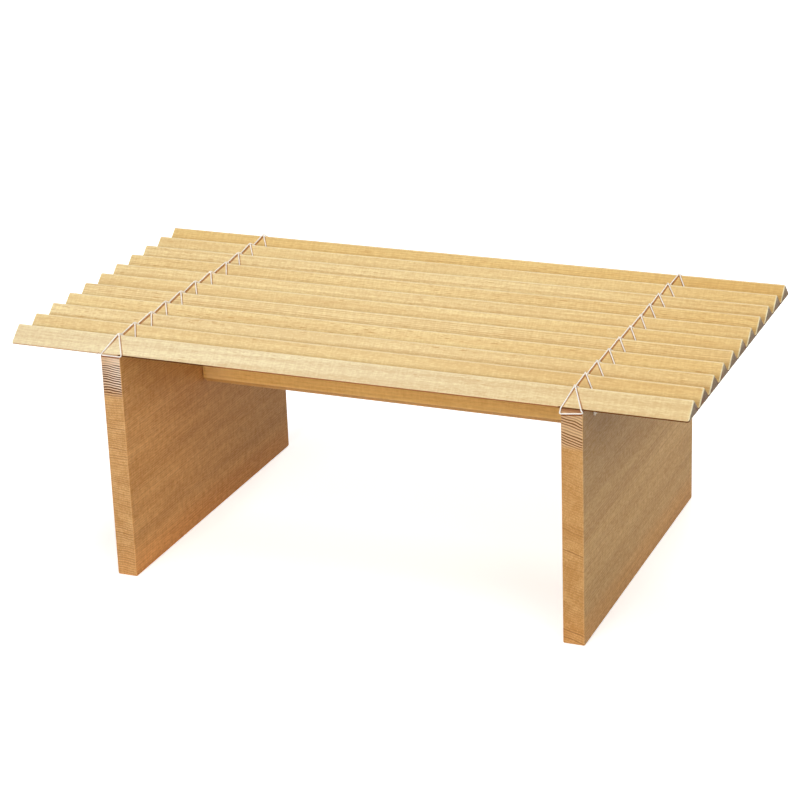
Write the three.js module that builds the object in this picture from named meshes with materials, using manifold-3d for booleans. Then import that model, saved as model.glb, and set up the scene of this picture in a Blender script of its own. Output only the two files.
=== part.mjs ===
// Wooden offering stand: a deck of triangular slats lashed with thread to two plank legs,
// which one rail joins under the middle of the deck.
// Millimetres. +X runs along the slats, -Y is the front, +Z is up.
// The origin is on the floor, under the middle of the deck.

import * as THREE from 'three';
import { mergeVertices } from 'three/addons/utils/BufferGeometryUtils.js';
import Module from 'manifold-3d';

const wasm = await Module();
wasm.setup();

// Deck slats: a triangle with its ridge upwards; base is measured to the sharp corners
const slatCount = 11;
const slatLength = 360;
const slatBase = 18;
const slatSlope = THREE.MathUtils.degToRad(43);
const slatGap = 0.3;
const ridgeRadius = 1.0;
const slatEdgeRadius = 0.3;
const slatEndRadius = 1.0;

// Lashing thread
const threadDiameter = 0.8;
const threadClearance = 0.15;
const strandGap = 0.48;
const threadBendRadius = 0.7;
// Rise of the second strand over the first at a crossing, in strand spacings along the slopes
const crossingLift = 1.12;
const threadHoleDrop = 5.5;
const notchSideClearance = 0.15;
const knotRadius = 1.1;
const knotDrop = 3.2;

// Plank legs
const legHeight = 123.5;
const legThickness = 11;
const legSpacing = 246;
const legCornerRadius = 1.0;
const legArris = 0.5;

// Rail between the legs
const railHeight = 46;
const railThickness = 16;
const railEdgeRadius = 2.5;
const railEndRadius = 1.5;

// Dowels that join the rail to the legs
const dowelDiameter = 6;
const dowelLength = 20;
const dowelDepthInLeg = 7;
const dowelEdgeDistance = 12;
const dowelClearance = 0.05;
const dowelEndClearance = 0.3;
const dowelChamfer = 0.6;

// Where each bar's two strands cross, measured outwards from the middle of the leg, front bar first
const leftCrossings = [-1.8, -1.6, -1.9, -1.1, -1.1, -0.8, -1.4, -2.2, -1.1, 0.0, -0.1];
const rightCrossings = [-0.8, -1.4, -1.2, -0.8, -1.0, -0.7, -0.7, -1.2, -1.6, -1.6, -0.6];

// How far below the deck the thread wraps round each leg's front and back edge
const leftWrap = { inner: 0.9, outer: 0.9 };
const rightWrap = { inner: 2.7, outer: 0.9 };

// Smoothness of the round forms
const cornerSteps = 3;
const endSteps = 2;
const roundSides = 16;
const holeSides = 12;
const threadSides = 6;
const knotSides = 10;
const knotRings = 6;
const bendSteps = 2;
const ridgeSteps = 3;
const leastCornerRadius = 0.1;

// Sizes that follow from the ones above
const threadRadius = threadDiameter / 2;
const threadOffset = threadRadius + threadClearance;
const strandSpacing = threadDiameter + strandGap;
const edgeRetreat = slatEdgeRadius / Math.tan(slatSlope / 2) - slatEdgeRadius;
const slatWidth = slatBase - 2 * edgeRetreat;
const slatPitch = slatWidth + slatGap;
const slatRise = (slatBase / 2) * Math.tan(slatSlope);
const notchReach = strandSpacing / 2 + threadOffset;
const notchWidth = 2 * (threadOffset + notchSideClearance);
const legDepth = slatCount * slatPitch - 2 * notchReach;
const innerFaceX = legSpacing / 2 - legThickness / 2;
const threadHoleRadius = Math.SQRT1_2 * strandSpacing + threadOffset;
const threadHoleZ = legHeight - threadHoleDrop;
const railBottom = legHeight - railHeight;

// Middle of slat number index, counted from the front
const slatY = (index) => (index - (slatCount - 1) / 2) * slatPitch;

// Middle of the gap in front of slat number index
const valleyY = (index) => slatY(index) - slatPitch / 2;

// Materials
const wood = (color, roughness) => new THREE.MeshStandardMaterial({ color, roughness, metalness: 0 });
const slatWoods = [
  0xf0dcae, 0xeacf98, 0xebd3a0, 0xe7cb92, 0xead09b, 0xe6c88e,
  0xe9cf99, 0xe4c486, 0xe8cb92, 0xe6c78c, 0xdfb877,
];
const legWood = wood(0xb98350, 0.6);
const railWood = wood(0xcf9a58, 0.6);
const dowelWood = wood(0xd9bd8c, 0.7);
const threadCotton = new THREE.MeshStandardMaterial({ color: 0xf4ece0, roughness: 0.85, metalness: 0 });

// Corners of a convex outline, moved inwards by a distance
function insetCorners(corners, distance) {
  const count = corners.length;
  return corners.map((corner, index) => {
    const before = corners[(index + count - 1) % count];
    const after = corners[(index + 1) % count];
    const arriving = corner.clone().sub(before).normalize();
    const leaving = after.clone().sub(corner).normalize();
    const turn = Math.acos(THREE.MathUtils.clamp(arriving.dot(leaving), -1, 1));
    const reach = distance / Math.cos(turn / 2);
    const inward = leaving.clone().sub(arriving).normalize();
    return corner.clone().addScaledVector(inward, reach);
  });
}

// Points of a convex outline whose corners are arcs of the given radii, in the order of the corners
function roundedOutline(corners, radii) {
  const count = corners.length;
  const points = [];
  corners.forEach((corner, index) => {
    const before = corners[(index + count - 1) % count];
    const after = corners[(index + 1) % count];
    const arriving = corner.clone().sub(before).normalize();
    const leaving = after.clone().sub(corner).normalize();
    const turn = Math.acos(THREE.MathUtils.clamp(arriving.dot(leaving), -1, 1));
    const radius = radii[index];
    const inward = leaving.clone().sub(arriving).normalize();
    const centre = corner.clone().addScaledVector(inward, radius / Math.cos(turn / 2));
    const start = Math.atan2(-arriving.x, arriving.y);
    for (let step = 0; step <= cornerSteps; step += 1) {
      const angle = start + (turn * step) / cornerSteps;
      points.push(new THREE.Vector2(centre.x + radius * Math.cos(angle), centre.y + radius * Math.sin(angle)));
    }
  });
  return points;
}

// Closed geometry from rings of points of equal count, each ring joined to the next and both ends capped
function loftRings(rings) {
  const count = rings[0].length;
  const positions = rings.flat().flatMap((point) => [point.x, point.y, point.z]);
  const indices = [];
  for (let ring = 0; ring < rings.length - 1; ring += 1) {
    for (let side = 0; side < count; side += 1) {
      const next = (side + 1) % count;
      const a = ring * count + side;
      const b = ring * count + next;
      const c = b + count;
      const d = a + count;
      indices.push(a, b, c, a, c, d);
    }
  }
  const last = (rings.length - 1) * count;
  for (let side = 1; side < count - 1; side += 1) {
    indices.push(0, side + 1, side);
    indices.push(last, last + side, last + side + 1);
  }
  const geometry = new THREE.BufferGeometry();
  geometry.setAttribute('position', new THREE.Float32BufferAttribute(positions, 3));
  geometry.setIndex(indices);
  geometry.computeVertexNormals();
  return geometry;
}

// Straight piece along X with a convex section in Y and Z, its end edges rounded by endRadius
function easedPrism(corners, radii, length, endRadius) {
  const ringAt = (x, inset) => {
    const smallerRadii = radii.map((radius) => Math.max(radius - inset, leastCornerRadius));
    const outline = roundedOutline(insetCorners(corners, inset), smallerRadii);
    return outline.map((point) => new THREE.Vector3(x, point.x, point.y));
  };
  const rings = [];
  for (let step = 0; step <= endSteps; step += 1) {
    const angle = ((Math.PI / 2) * step) / endSteps;
    const x = -length / 2 + endRadius * (1 - Math.cos(angle));
    rings.push(ringAt(x, endRadius * (1 - Math.sin(angle))));
  }
  for (let step = endSteps; step >= 0; step -= 1) {
    const angle = ((Math.PI / 2) * step) / endSteps;
    const x = length / 2 - endRadius * (1 - Math.cos(angle));
    rings.push(ringAt(x, endRadius * (1 - Math.sin(angle))));
  }
  return loftRings(rings);
}

function rectangleCorners(depth, bottom, top) {
  return [
    new THREE.Vector2(-depth / 2, bottom),
    new THREE.Vector2(depth / 2, bottom),
    new THREE.Vector2(depth / 2, top),
    new THREE.Vector2(-depth / 2, top),
  ];
}

// Booleans
function toManifold(geometry) {
  const bare = geometry.clone();
  bare.deleteAttribute('normal');
  bare.deleteAttribute('uv');
  const merged = mergeVertices(bare);
  return new wasm.Manifold(new wasm.Mesh({
    numProp: 3,
    vertProperties: new Float32Array(merged.attributes.position.array),
    triVerts: new Uint32Array(merged.index.array),
  }));
}

function fromManifold(manifold) {
  const mesh = manifold.getMesh();
  const geometry = new THREE.BufferGeometry();
  geometry.setAttribute('position', new THREE.Float32BufferAttribute(mesh.vertProperties, 3));
  geometry.setIndex(new THREE.Uint32BufferAttribute(mesh.triVerts, 1));
  geometry.computeVertexNormals();
  return geometry;
}

function cutAway(geometry, cutters) {
  let solid = toManifold(geometry);
  cutters.forEach((cutter) => {
    solid = solid.subtract(toManifold(cutter));
  });
  return fromManifold(solid);
}

// Round cutter along X between two X positions
function boreAlongX(radius, fromX, toX, y, z, sides) {
  const bore = new THREE.CylinderGeometry(radius, radius, toX - fromX, sides);
  bore.rotateZ(Math.PI / 2);
  bore.translate((fromX + toX) / 2, y, z);
  return bore;
}

// Slat, with a small notch in both lower edges wherever a thread goes down beside a leg
function slatGeometry() {
  const corners = [
    new THREE.Vector2(-slatBase / 2, 0),
    new THREE.Vector2(slatBase / 2, 0),
    new THREE.Vector2(0, slatRise),
  ];
  const bar = easedPrism(corners, [slatEdgeRadius, slatEdgeRadius, ridgeRadius], slatLength, slatEndRadius);
  const strandX = legThickness / 2 + threadOffset;
  const cutters = [];
  [-1, 1].forEach((side) => {
    [-1, 1].forEach((face) => {
      [-1, 1].forEach((edge) => {
        const notch = new THREE.BoxGeometry(notchWidth, 2 * notchReach, slatRise);
        notch.translate(side * (legSpacing / 2 + face * strandX), (edge * slatPitch) / 2, 0);
        cutters.push(notch);
      });
    });
  });
  return cutAway(bar, cutters);
}

// Dowels and their bores
const dowelHeights = [railBottom + dowelEdgeDistance, legHeight - dowelEdgeDistance];

// Middle of the dowels' length, where they pass from the leg at side into the rail
const dowelX = (side) => side * (innerFaceX + dowelDepthInLeg - dowelLength / 2);

function dowelBore(side, z) {
  const halfLength = dowelLength / 2 + dowelEndClearance;
  const middle = dowelX(side);
  const radius = dowelDiameter / 2 + dowelClearance;
  return boreAlongX(radius, middle - halfLength, middle + halfLength, 0, z, roundSides);
}

function dowelGeometry() {
  const radius = dowelDiameter / 2;
  const half = dowelLength / 2;
  const profile = [
    new THREE.Vector2(0, -half),
    new THREE.Vector2(radius - dowelChamfer, -half),
    new THREE.Vector2(radius, -half + dowelChamfer),
    new THREE.Vector2(radius, half - dowelChamfer),
    new THREE.Vector2(radius - dowelChamfer, half),
    new THREE.Vector2(0, half),
  ];
  const dowel = new THREE.LatheGeometry(profile, roundSides);
  dowel.rotateZ(Math.PI / 2);
  return dowel;
}

// Leg, with a thread hole under every gap between slats and a bore for each dowel
function legGeometry(side) {
  const middle = (side * legSpacing) / 2;
  const corners = rectangleCorners(legDepth, 0, legHeight);
  const radii = [legCornerRadius, legCornerRadius, legCornerRadius, legCornerRadius];
  const plank = easedPrism(corners, radii, legThickness, legArris);
  plank.translate(middle, 0, 0);
  const cutters = dowelHeights.map((z) => dowelBore(side, z));
  const start = middle - legThickness;
  const end = middle + legThickness;
  for (let valley = 1; valley < slatCount; valley += 1) {
    cutters.push(boreAlongX(threadHoleRadius, start, end, valleyY(valley), threadHoleZ, holeSides));
  }
  return cutAway(plank, cutters);
}

// Rail, with dowel bores and a shallow relief at each top corner where the thread runs down the leg
function railGeometry() {
  const length = 2 * innerFaceX;
  const corners = rectangleCorners(railThickness, railBottom, legHeight);
  const radii = [railEdgeRadius, railEdgeRadius, railEdgeRadius, railEdgeRadius];
  const rail = easedPrism(corners, radii, length, railEndRadius);
  const reliefLength = 2 * threadOffset + notchSideClearance;
  const reliefDepth = threadHoleDrop + threadHoleRadius + threadOffset;
  const cutters = [];
  [-1, 1].forEach((side) => {
    dowelHeights.forEach((z) => cutters.push(dowelBore(side, z)));
    for (let valley = 1; valley < slatCount; valley += 1) {
      if (Math.abs(valleyY(valley)) - notchReach < railThickness / 2) {
        const relief = new THREE.BoxGeometry(2 * reliefLength, 2 * notchReach, 2 * reliefDepth);
        relief.translate(side * innerFaceX, valleyY(valley), legHeight);
        cutters.push(relief);
      }
    }
  });
  return cutAway(rail, cutters);
}

// Route of a thread through a list of bends: straight runs joined by arcs
function bendRoute(bends) {
  const route = [bends[0].at.clone()];
  for (let index = 1; index < bends.length - 1; index += 1) {
    const { at, radius, steps } = bends[index];
    const arriving = at.clone().sub(bends[index - 1].at).normalize();
    const leaving = bends[index + 1].at.clone().sub(at).normalize();
    const turn = arriving.angleTo(leaving);
    const inward = leaving.clone().sub(arriving).normalize();
    const centre = at.clone().addScaledVector(inward, radius / Math.cos(turn / 2));
    const first = at.clone().addScaledVector(arriving, -radius * Math.tan(turn / 2)).sub(centre);
    const axis = new THREE.Vector3().crossVectors(arriving, leaving).normalize();
    for (let step = 0; step <= steps; step += 1) {
      const spoke = first.clone().applyAxisAngle(axis, (turn * step) / steps);
      route.push(spoke.add(centre));
    }
  }
  route.push(bends[bends.length - 1].at.clone());
  return route;
}

// Tube round a route, its rings carried along without twist
function threadTube(route) {
  const tangents = route.map((point, index) => {
    const before = route[Math.max(index - 1, 0)];
    const after = route[Math.min(index + 1, route.length - 1)];
    const arriving = point.clone().sub(before).normalize();
    const leaving = after.clone().sub(point).normalize();
    return arriving.add(leaving).normalize();
  });
  const across = new THREE.Vector3(0, 1, 0).cross(tangents[0]).normalize();
  const rings = route.map((point, index) => {
    across.addScaledVector(tangents[index], -across.dot(tangents[index])).normalize();
    const up = new THREE.Vector3().crossVectors(tangents[index], across);
    const ring = [];
    for (let side = 0; side < threadSides; side += 1) {
      const angle = (2 * Math.PI * side) / threadSides;
      const spoke = across.clone().multiplyScalar(threadRadius * Math.cos(angle));
      spoke.addScaledVector(up, threadRadius * Math.sin(angle));
      ring.push(spoke.add(point));
    }
    return ring;
  });
  return loftRings(rings);
}

// Bends of one lashing. X counts outwards from the middle of the leg's thickness.
// The thread starts at a knot on the outer face, runs to the back over every slat,
// round the leg's back edge, back to the front over every slat, round the front edge,
// and ends at the knot. At each gap it drops down the leg's face and through a hole.
function lashingBends(crossings, wrap) {
  const faceX = legThickness / 2 + threadOffset;
  const halfSpacing = strandSpacing / 2;
  const ridgeBendRadius = ridgeRadius + threadOffset;
  const lowRidgeZ = legHeight + slatRise + threadOffset / Math.cos(slatSlope);
  const highRidgeZ = lowRidgeZ + crossingLift * strandSpacing;
  const footZ = lowRidgeZ - (slatPitch / 2 - halfSpacing) * Math.tan(slatSlope);
  const lastValley = slatCount;
  const knotY = valleyY(1) - strandSpacing;
  const knotZ = threadHoleZ - knotDrop;
  const knot = new THREE.Vector3(faceX + knotRadius / 2, knotY, knotZ);
  const bends = [];
  const bend = (x, y, z, radius, steps = bendSteps) => {
    bends.push({ at: new THREE.Vector3(x, y, z), radius, steps });
  };
  const outer = faceX;
  const inner = -faceX;
  const frontFoot = (slat) => valleyY(slat) + halfSpacing;
  const backFoot = (slat) => valleyY(slat + 1) - halfSpacing;

  // Start: from the knot up into the first hole
  bends.push({ at: knot });
  bend(outer, knotY + halfSpacing, knotZ + knotRadius, threadBendRadius);
  bend(outer, knotY + halfSpacing, threadHoleZ + halfSpacing, threadBendRadius);
  bend(inner, frontFoot(1), threadHoleZ + halfSpacing, threadBendRadius);

  // Over the slats towards the back, lying on them
  for (let slat = 1; slat < slatCount; slat += 1) {
    bend(inner, frontFoot(slat), footZ, threadBendRadius);
    bend(crossings[slat % crossings.length], slatY(slat), lowRidgeZ, ridgeBendRadius, ridgeSteps);
    bend(outer, backFoot(slat), footZ, threadBendRadius);
    if (slat + 1 < slatCount) {
      bend(outer, backFoot(slat), threadHoleZ + halfSpacing, threadBendRadius);
      bend(inner, frontFoot(slat + 1), threadHoleZ + halfSpacing, threadBendRadius);
    }
  }

  // Round the leg's back edge
  bend(outer, valleyY(lastValley) - halfSpacing, legHeight - wrap.outer, threadBendRadius);
  bend(inner, valleyY(lastValley) - halfSpacing, legHeight - wrap.inner, threadBendRadius);

  // Over the slats towards the front, crossing above the first run at each ridge
  for (let slat = slatCount - 1; slat >= 0; slat -= 1) {
    bend(inner, backFoot(slat), footZ, threadBendRadius);
    bend(crossings[slat % crossings.length], slatY(slat), highRidgeZ, ridgeBendRadius, ridgeSteps);
    bend(outer, frontFoot(slat), footZ, threadBendRadius);
    if (slat > 0) {
      bend(outer, frontFoot(slat), threadHoleZ - halfSpacing, threadBendRadius);
      bend(inner, backFoot(slat - 1), threadHoleZ - halfSpacing, threadBendRadius);
    }
  }

  // Round the leg's front edge and once more over the first slat
  bend(outer, frontFoot(0), legHeight - wrap.outer, threadBendRadius);
  bend(inner, frontFoot(0), legHeight - wrap.inner, threadBendRadius);
  bend(inner, frontFoot(0), footZ, threadBendRadius);
  bend(crossings[0], slatY(0), lowRidgeZ, ridgeBendRadius, ridgeSteps);
  bend(outer, backFoot(0), footZ, threadBendRadius);

  // End: down beside the first hole to the knot
  bend(outer, backFoot(0), legHeight - threadBendRadius, threadBendRadius);
  bend(outer, backFoot(0) - strandSpacing, threadHoleZ + threadHoleRadius, threadBendRadius);
  bend(outer, knotY - halfSpacing, knotZ + knotRadius, threadBendRadius);
  bends.push({ at: knot });
  return { bends, knot };
}

// Least distance between two runs of the route, less the thread's own thickness
function leastGapToItself(route, knot) {
  const sampleStep = 0.2;
  const nearAlong = 5;
  const samples = [];
  let travelled = 0;
  for (let index = 1; index < route.length; index += 1) {
    const length = route[index].distanceTo(route[index - 1]);
    const parts = Math.max(1, Math.round(length / sampleStep));
    for (let part = 0; part < parts; part += 1) {
      const point = route[index - 1].clone().lerp(route[index], part / parts);
      if (point.distanceTo(knot) > 2 * knotRadius) {
        samples.push({ point, along: travelled + (length * part) / parts });
      }
    }
    travelled += length;
  }
  let least = Infinity;
  for (let first = 0; first < samples.length; first += 1) {
    for (let second = first + 1; second < samples.length; second += 1) {
      if (samples[second].along - samples[first].along > nearAlong) {
        least = Math.min(least, samples[first].point.distanceTo(samples[second].point));
      }
    }
  }
  return { gap: least - threadDiameter, length: travelled };
}

function lashingGeometry(side, crossings, wrap) {
  const { bends, knot } = lashingBends(crossings, wrap);
  const place = (point) => new THREE.Vector3(side * (legSpacing / 2 + point.x), point.y, point.z);
  const route = bendRoute(bends).map(place);
  const knotPlace = place(knot);
  const measured = leastGapToItself(route, knotPlace);
  const name = side < 0 ? 'left' : 'right';
  const length = measured.length.toFixed(0);
  console.log(`${name} lashing: ${length} mm of thread, least gap to itself ${measured.gap.toFixed(2)} mm`);
  const knotBall = new THREE.SphereGeometry(knotRadius, knotSides, knotRings);
  knotBall.translate(knotPlace.x, knotPlace.y, knotPlace.z);
  return fromManifold(toManifold(threadTube(route)).add(toManifold(knotBall)));
}

// Assembly
const stand = new THREE.Group();

function addPiece(parent, name, geometry, material) {
  const piece = new THREE.Mesh(geometry, material);
  piece.name = name;
  parent.add(piece);
  return piece;
}

const deck = new THREE.Group();
deck.position.z = legHeight;
for (let index = 0; index < slatCount; index += 1) {
  const name = `slat_${String(index + 1).padStart(2, '0')}`;
  const slat = addPiece(deck, name, slatGeometry(), wood(slatWoods[index % slatWoods.length], 0.65));
  slat.position.y = slatY(index);
}
stand.add(deck);

const base = new THREE.Group();
[['left', -1], ['right', 1]].forEach(([name, side]) => {
  addPiece(base, `${name}_leg`, legGeometry(side), legWood);
  [['lower', dowelHeights[0]], ['upper', dowelHeights[1]]].forEach(([level, z]) => {
    const dowel = addPiece(base, `${name}_${level}_dowel`, dowelGeometry(), dowelWood);
    dowel.position.set(dowelX(side), 0, z);
  });
});
addPiece(base, 'rail', railGeometry(), railWood);
stand.add(base);

const lashings = new THREE.Group();
addPiece(lashings, 'left_lashing', lashingGeometry(-1, leftCrossings, leftWrap), threadCotton);
addPiece(lashings, 'right_lashing', lashingGeometry(1, rightCrossings, rightWrap), threadCotton);
stand.add(lashings);

export default stand;
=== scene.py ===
"""Wooden offering stand: fine slats, legs, rail and thread lashings round the fixed frame.

Metres. +X runs along the slats, -Y is the front, +Z is up, as in the frame.
"""

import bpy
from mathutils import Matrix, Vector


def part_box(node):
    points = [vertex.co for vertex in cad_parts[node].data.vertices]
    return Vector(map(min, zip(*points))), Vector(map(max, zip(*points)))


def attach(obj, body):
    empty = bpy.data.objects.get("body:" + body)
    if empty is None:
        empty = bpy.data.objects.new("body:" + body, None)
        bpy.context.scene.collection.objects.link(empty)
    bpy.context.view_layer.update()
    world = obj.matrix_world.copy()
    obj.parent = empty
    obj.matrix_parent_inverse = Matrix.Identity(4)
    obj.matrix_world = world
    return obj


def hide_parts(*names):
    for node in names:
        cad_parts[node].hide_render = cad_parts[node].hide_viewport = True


bl_info = {
    "name": "Offering stand",
    "version": (1, 0, 0),
    "blender": (4, 5, 0),
    "location": "View3D > Sidebar > Stand",
    "description": "Slats, legs, rail, dowels and thread lashings of a small wooden offering stand",
    "category": "Add Mesh",
}

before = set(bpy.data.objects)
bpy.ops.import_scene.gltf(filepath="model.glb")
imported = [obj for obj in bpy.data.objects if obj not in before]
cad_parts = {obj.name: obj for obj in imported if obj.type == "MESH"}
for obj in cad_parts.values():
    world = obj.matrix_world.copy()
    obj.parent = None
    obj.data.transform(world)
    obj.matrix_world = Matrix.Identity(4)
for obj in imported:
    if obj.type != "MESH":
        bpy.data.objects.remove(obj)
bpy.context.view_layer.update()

import math

import bmesh
import bpy
import numpy as np
from bpy.props import FloatProperty, FloatVectorProperty, PointerProperty
from mathutils import Matrix, Vector

MM = 0.001

# Places that come from the frame
slat_names = sorted(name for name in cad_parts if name.startswith("slat_"))
dowel_names = sorted(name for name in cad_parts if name.endswith("_dowel"))


def middle_of(node):
    low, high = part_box(node)
    return (low + high) / 2


def size_of(node):
    low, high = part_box(node)
    return high - low


slat_pitch = (middle_of(slat_names[-1]).y - middle_of(slat_names[0]).y) / (len(slat_names) - 1)
leg_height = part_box("left_leg")[1].z
leg_thickness = size_of("left_leg").x
leg_spacing = middle_of("right_leg").x - middle_of("left_leg").x


def srgb(red, green, blue):
    """Linear colour of an 8-bit screen colour."""
    shares = np.array([red, green, blue]) / 255
    curved = np.where(shares <= 0.04045, shares / 12.92, ((shares + 0.055) / 1.055) ** 2.4)
    return tuple(float(value) for value in curved)


def length_setting(name, description, default):
    return FloatProperty(
        name=name, description=description, default=default, min=0, unit="LENGTH", subtype="DISTANCE"
    )


def angle_setting(name, description, degrees):
    return FloatProperty(
        name=name, description=description, default=math.radians(degrees), unit="ROTATION", subtype="ANGLE"
    )


def colour_setting(name, description, default):
    return FloatVectorProperty(
        name=name, description=description, default=default, min=0, max=1, size=3, subtype="COLOR"
    )


class STAND_PG_slats(bpy.types.PropertyGroup):
    slope: angle_setting("Slope", "Angle of a slat's sides above the deck", 42)
    joint: length_setting("Joint", "Room between two slats", 0.02 * MM)
    ridge_radius: length_setting("Ridge radius", "Rounding of the ridge", 1.0 * MM)
    edge_radius: length_setting("Edge radius", "Rounding of the two lower edges", 0.4 * MM)
    end_radius: length_setting("End radius", "Rounding round the end faces", 0.6 * MM)
    corner_radius: length_setting("Corner radius", "Rounding of the lower corners at the ends", 1.6 * MM)
    planing: length_setting("Planing", "How far the hand planing wanders", 0.07 * MM)
    front: colour_setting("Front slat", "Wood of the palest slat", srgb(250, 237, 196))
    middle: colour_setting("Middle slats", "Wood of most slats", srgb(252, 232, 177))
    back: colour_setting("Back slat", "Wood of the warmest slat", srgb(244, 216, 150))
    line: colour_setting("Growth lines", "Colour of the growth lines and flecks", srgb(186, 132, 66))
    # Rubbed edges: real wear and a painted highlight
    worn_and_lit: colour_setting("Rubbed edges", "Colour of the rubbed edges", srgb(255, 244, 206))


class STAND_PG_legs(bpy.types.PropertyGroup):
    corner_radius: length_setting("Corner radius", "Rounding of the corners seen from the side", 1.0 * MM)
    arris: length_setting("Arris", "Rounding along the faces", 0.5 * MM)
    hole_drop: length_setting("Hole drop", "Depth of the thread holes under the deck", 5.5 * MM)
    hole_radius: length_setting("Hole radius", "Radius of the thread holes", 1.455 * MM)
    hole_rim: length_setting("Hole rim", "Countersink of the thread holes", 0.25 * MM)
    pale: colour_setting("Pale wood", "Early wood of the legs", srgb(230, 183, 125))
    deep: colour_setting("Deep wood", "Darker tone of the legs", srgb(196, 145, 87))
    line: colour_setting("Growth lines", "Colour of the growth lines", srgb(132, 80, 42))
    # Rubbed edges: real wear and a painted highlight
    worn_and_lit: colour_setting("Rubbed edges", "Colour of the rubbed edges", srgb(232, 186, 132))


class STAND_PG_rail(bpy.types.PropertyGroup):
    chamfer: length_setting("Chamfer", "Size of the chamfer along the long edges", 3.0 * MM)
    flatness: FloatProperty(
        name="Flatness", description="0 for round edges, 1 for flat chamfers", default=0.85
    )
    end_radius: length_setting("End radius", "Rounding at the legs", 1.5 * MM)
    pale: colour_setting("Pale wood", "Early wood of the rail", srgb(237, 192, 117))
    deep: colour_setting("Deep wood", "Darker tone of the rail", srgb(214, 163, 91))
    line: colour_setting("Growth lines", "Colour of the growth lines", srgb(150, 92, 42))
    # Rubbed edges: real wear and a painted highlight
    worn_and_lit: colour_setting("Rubbed edges", "Colour of the rubbed edges", srgb(234, 190, 128))


class STAND_PG_dowels(bpy.types.PropertyGroup):
    clearance: length_setting("Clearance", "Room round a dowel in its bore", 0.05 * MM)
    end_clearance: length_setting("End clearance", "Room past a dowel's end in its bore", 0.3 * MM)
    pale: colour_setting("Pale wood", "Early wood of the dowels", srgb(224, 196, 148))
    deep: colour_setting("Deep wood", "Darker tone of the dowels", srgb(206, 172, 118))


class STAND_PG_thread(bpy.types.PropertyGroup):
    diameter: length_setting("Diameter", "Thickness of the thread", 0.7 * MM)
    clearance: length_setting("Clearance", "Room between the thread and the wood", 0.02 * MM)
    strand_gap: length_setting("Strand gap", "Room between two strands side by side", 0.05 * MM)
    bend_radius: length_setting("Bend radius", "Bend of the thread round an edge", 0.6 * MM)
    twist: length_setting("Twist", "Length of one turn of the plies", 2.6 * MM)
    knot_drop: length_setting("Knot drop", "From the middle of the first hole down to the knot", 1.9 * MM)
    bite: length_setting("Bite", "How far the thread has sunk into the ridges", 0.12 * MM)
    colour: colour_setting("Cotton", "Colour of the thread", srgb(255, 252, 245))
    # Grooves: painted shade between the plies
    shade: colour_setting("Grooves", "Colour between the plies", srgb(250, 237, 222))
    # Underside: painted shade, with some soil where the thread lies on the wood
    underside_shade_and_soil: colour_setting("Underside shade and soil", "Colour of the thread where it lies against the wood", srgb(118, 88, 62))


class STAND_PG_view(bpy.types.PropertyGroup):
    azimuth: angle_setting("Azimuth", "Turn of the camera from the front towards the right", 23.163)
    elevation: angle_setting("Elevation", "Angle of the camera above the floor", 20.217)
    roll: angle_setting("Roll", "Tilt of the camera about its axis", -2.044)
    distance: length_setting("Distance", "From the camera to the point it looks at", 1.25401)
    lens: FloatProperty(
        name="Lens", description="Focal length on a 36 mm sensor", default=106.811, unit="CAMERA"
    )
    shift: FloatProperty(name="Shift", description="Rise of the picture's middle in widths", default=-0.05625)
    aim: FloatVectorProperty(
        name="Aim",
        description="Point that the camera looks at",
        default=(-0.00656, 0.00669, 0.10028),
        subtype="TRANSLATION",
        unit="LENGTH",
    )
    floor: colour_setting("Floor", "Colour of the floor", srgb(240, 240, 240))


# Surfaces
def unit_rows(vectors):
    return vectors / np.linalg.norm(vectors, axis=-1, keepdims=True)


def crowded_shares(count):
    """Shares between 0 and 1, evenly spaced ones less a sine, so that they crowd towards both ends."""
    crowding = 0.85
    even = np.arange(1, count + 1) / (count + 1)
    return even - crowding * np.sin(2 * np.pi * even) / (2 * np.pi)


def rounded_outline(corners, radii, arc_steps, shares):
    """Points round a convex outline, and 1 for each that lies on an arc or 0 on a straight side.

    The centre of a corner's arc lies on its bisector, the radius over the cosine of half the turn
    inwards. The arc runs from the normal of the side before to the normal of the side after, and the
    straight side to the next arc has a point at each share.
    """
    before = unit_rows(corners - np.roll(corners, 1, axis=0))
    after = np.roll(before, -1, axis=0)
    turn = np.arccos((before * after).sum(axis=1))
    centres = corners + unit_rows(after - before) * (radii / np.cos(turn / 2))[:, None]
    start = np.arctan2(-before[:, 0], before[:, 1])
    angles = start[:, None] + turn[:, None] * np.linspace(0, 1, arc_steps + 1)
    spokes = np.stack([np.cos(angles), np.sin(angles)], axis=-1)
    arcs = centres[:, None] + radii[:, None, None] * spokes
    ends = np.roll(arcs[:, 0], -1, axis=0)
    sides = arcs[:, -1:] + shares[None, :, None] * (ends - arcs[:, -1])[:, None]
    points = np.concatenate([arcs, sides], axis=1)
    on_arc = np.zeros(points.shape[:2])
    on_arc[:, : arc_steps + 1] = 1
    return points.reshape(-1, 2), on_arc.reshape(-1)


def lofted_mesh(name, rings):
    """Closed mesh through an array of rings: quads join each ring to the next, a polygon closes each end."""
    stations, around = rings.shape[:2]
    index = np.arange(stations * around).reshape(stations, around)
    beside = np.roll(index, -1, axis=1)
    quads = np.stack([index[:-1], beside[:-1], beside[1:], index[1:]], axis=-1).reshape(-1, 4)
    faces = quads.tolist() + [index[0, ::-1].tolist(), index[-1].tolist()]
    mesh = bpy.data.meshes.new(name)
    mesh.from_pydata(rings.reshape(-1, 3), [], faces)
    mesh.shade_smooth()
    return mesh


def joined_mesh(name, meshes):
    """One mesh from several, with their point attributes."""
    joined = bmesh.new()
    for mesh in meshes:
        joined.from_mesh(mesh)
        bpy.data.meshes.remove(mesh)
    result = bpy.data.meshes.new(name)
    joined.to_mesh(result)
    joined.free()
    return result


def set_material(mesh, material):
    mesh.materials.clear()
    mesh.materials.append(material)


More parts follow.
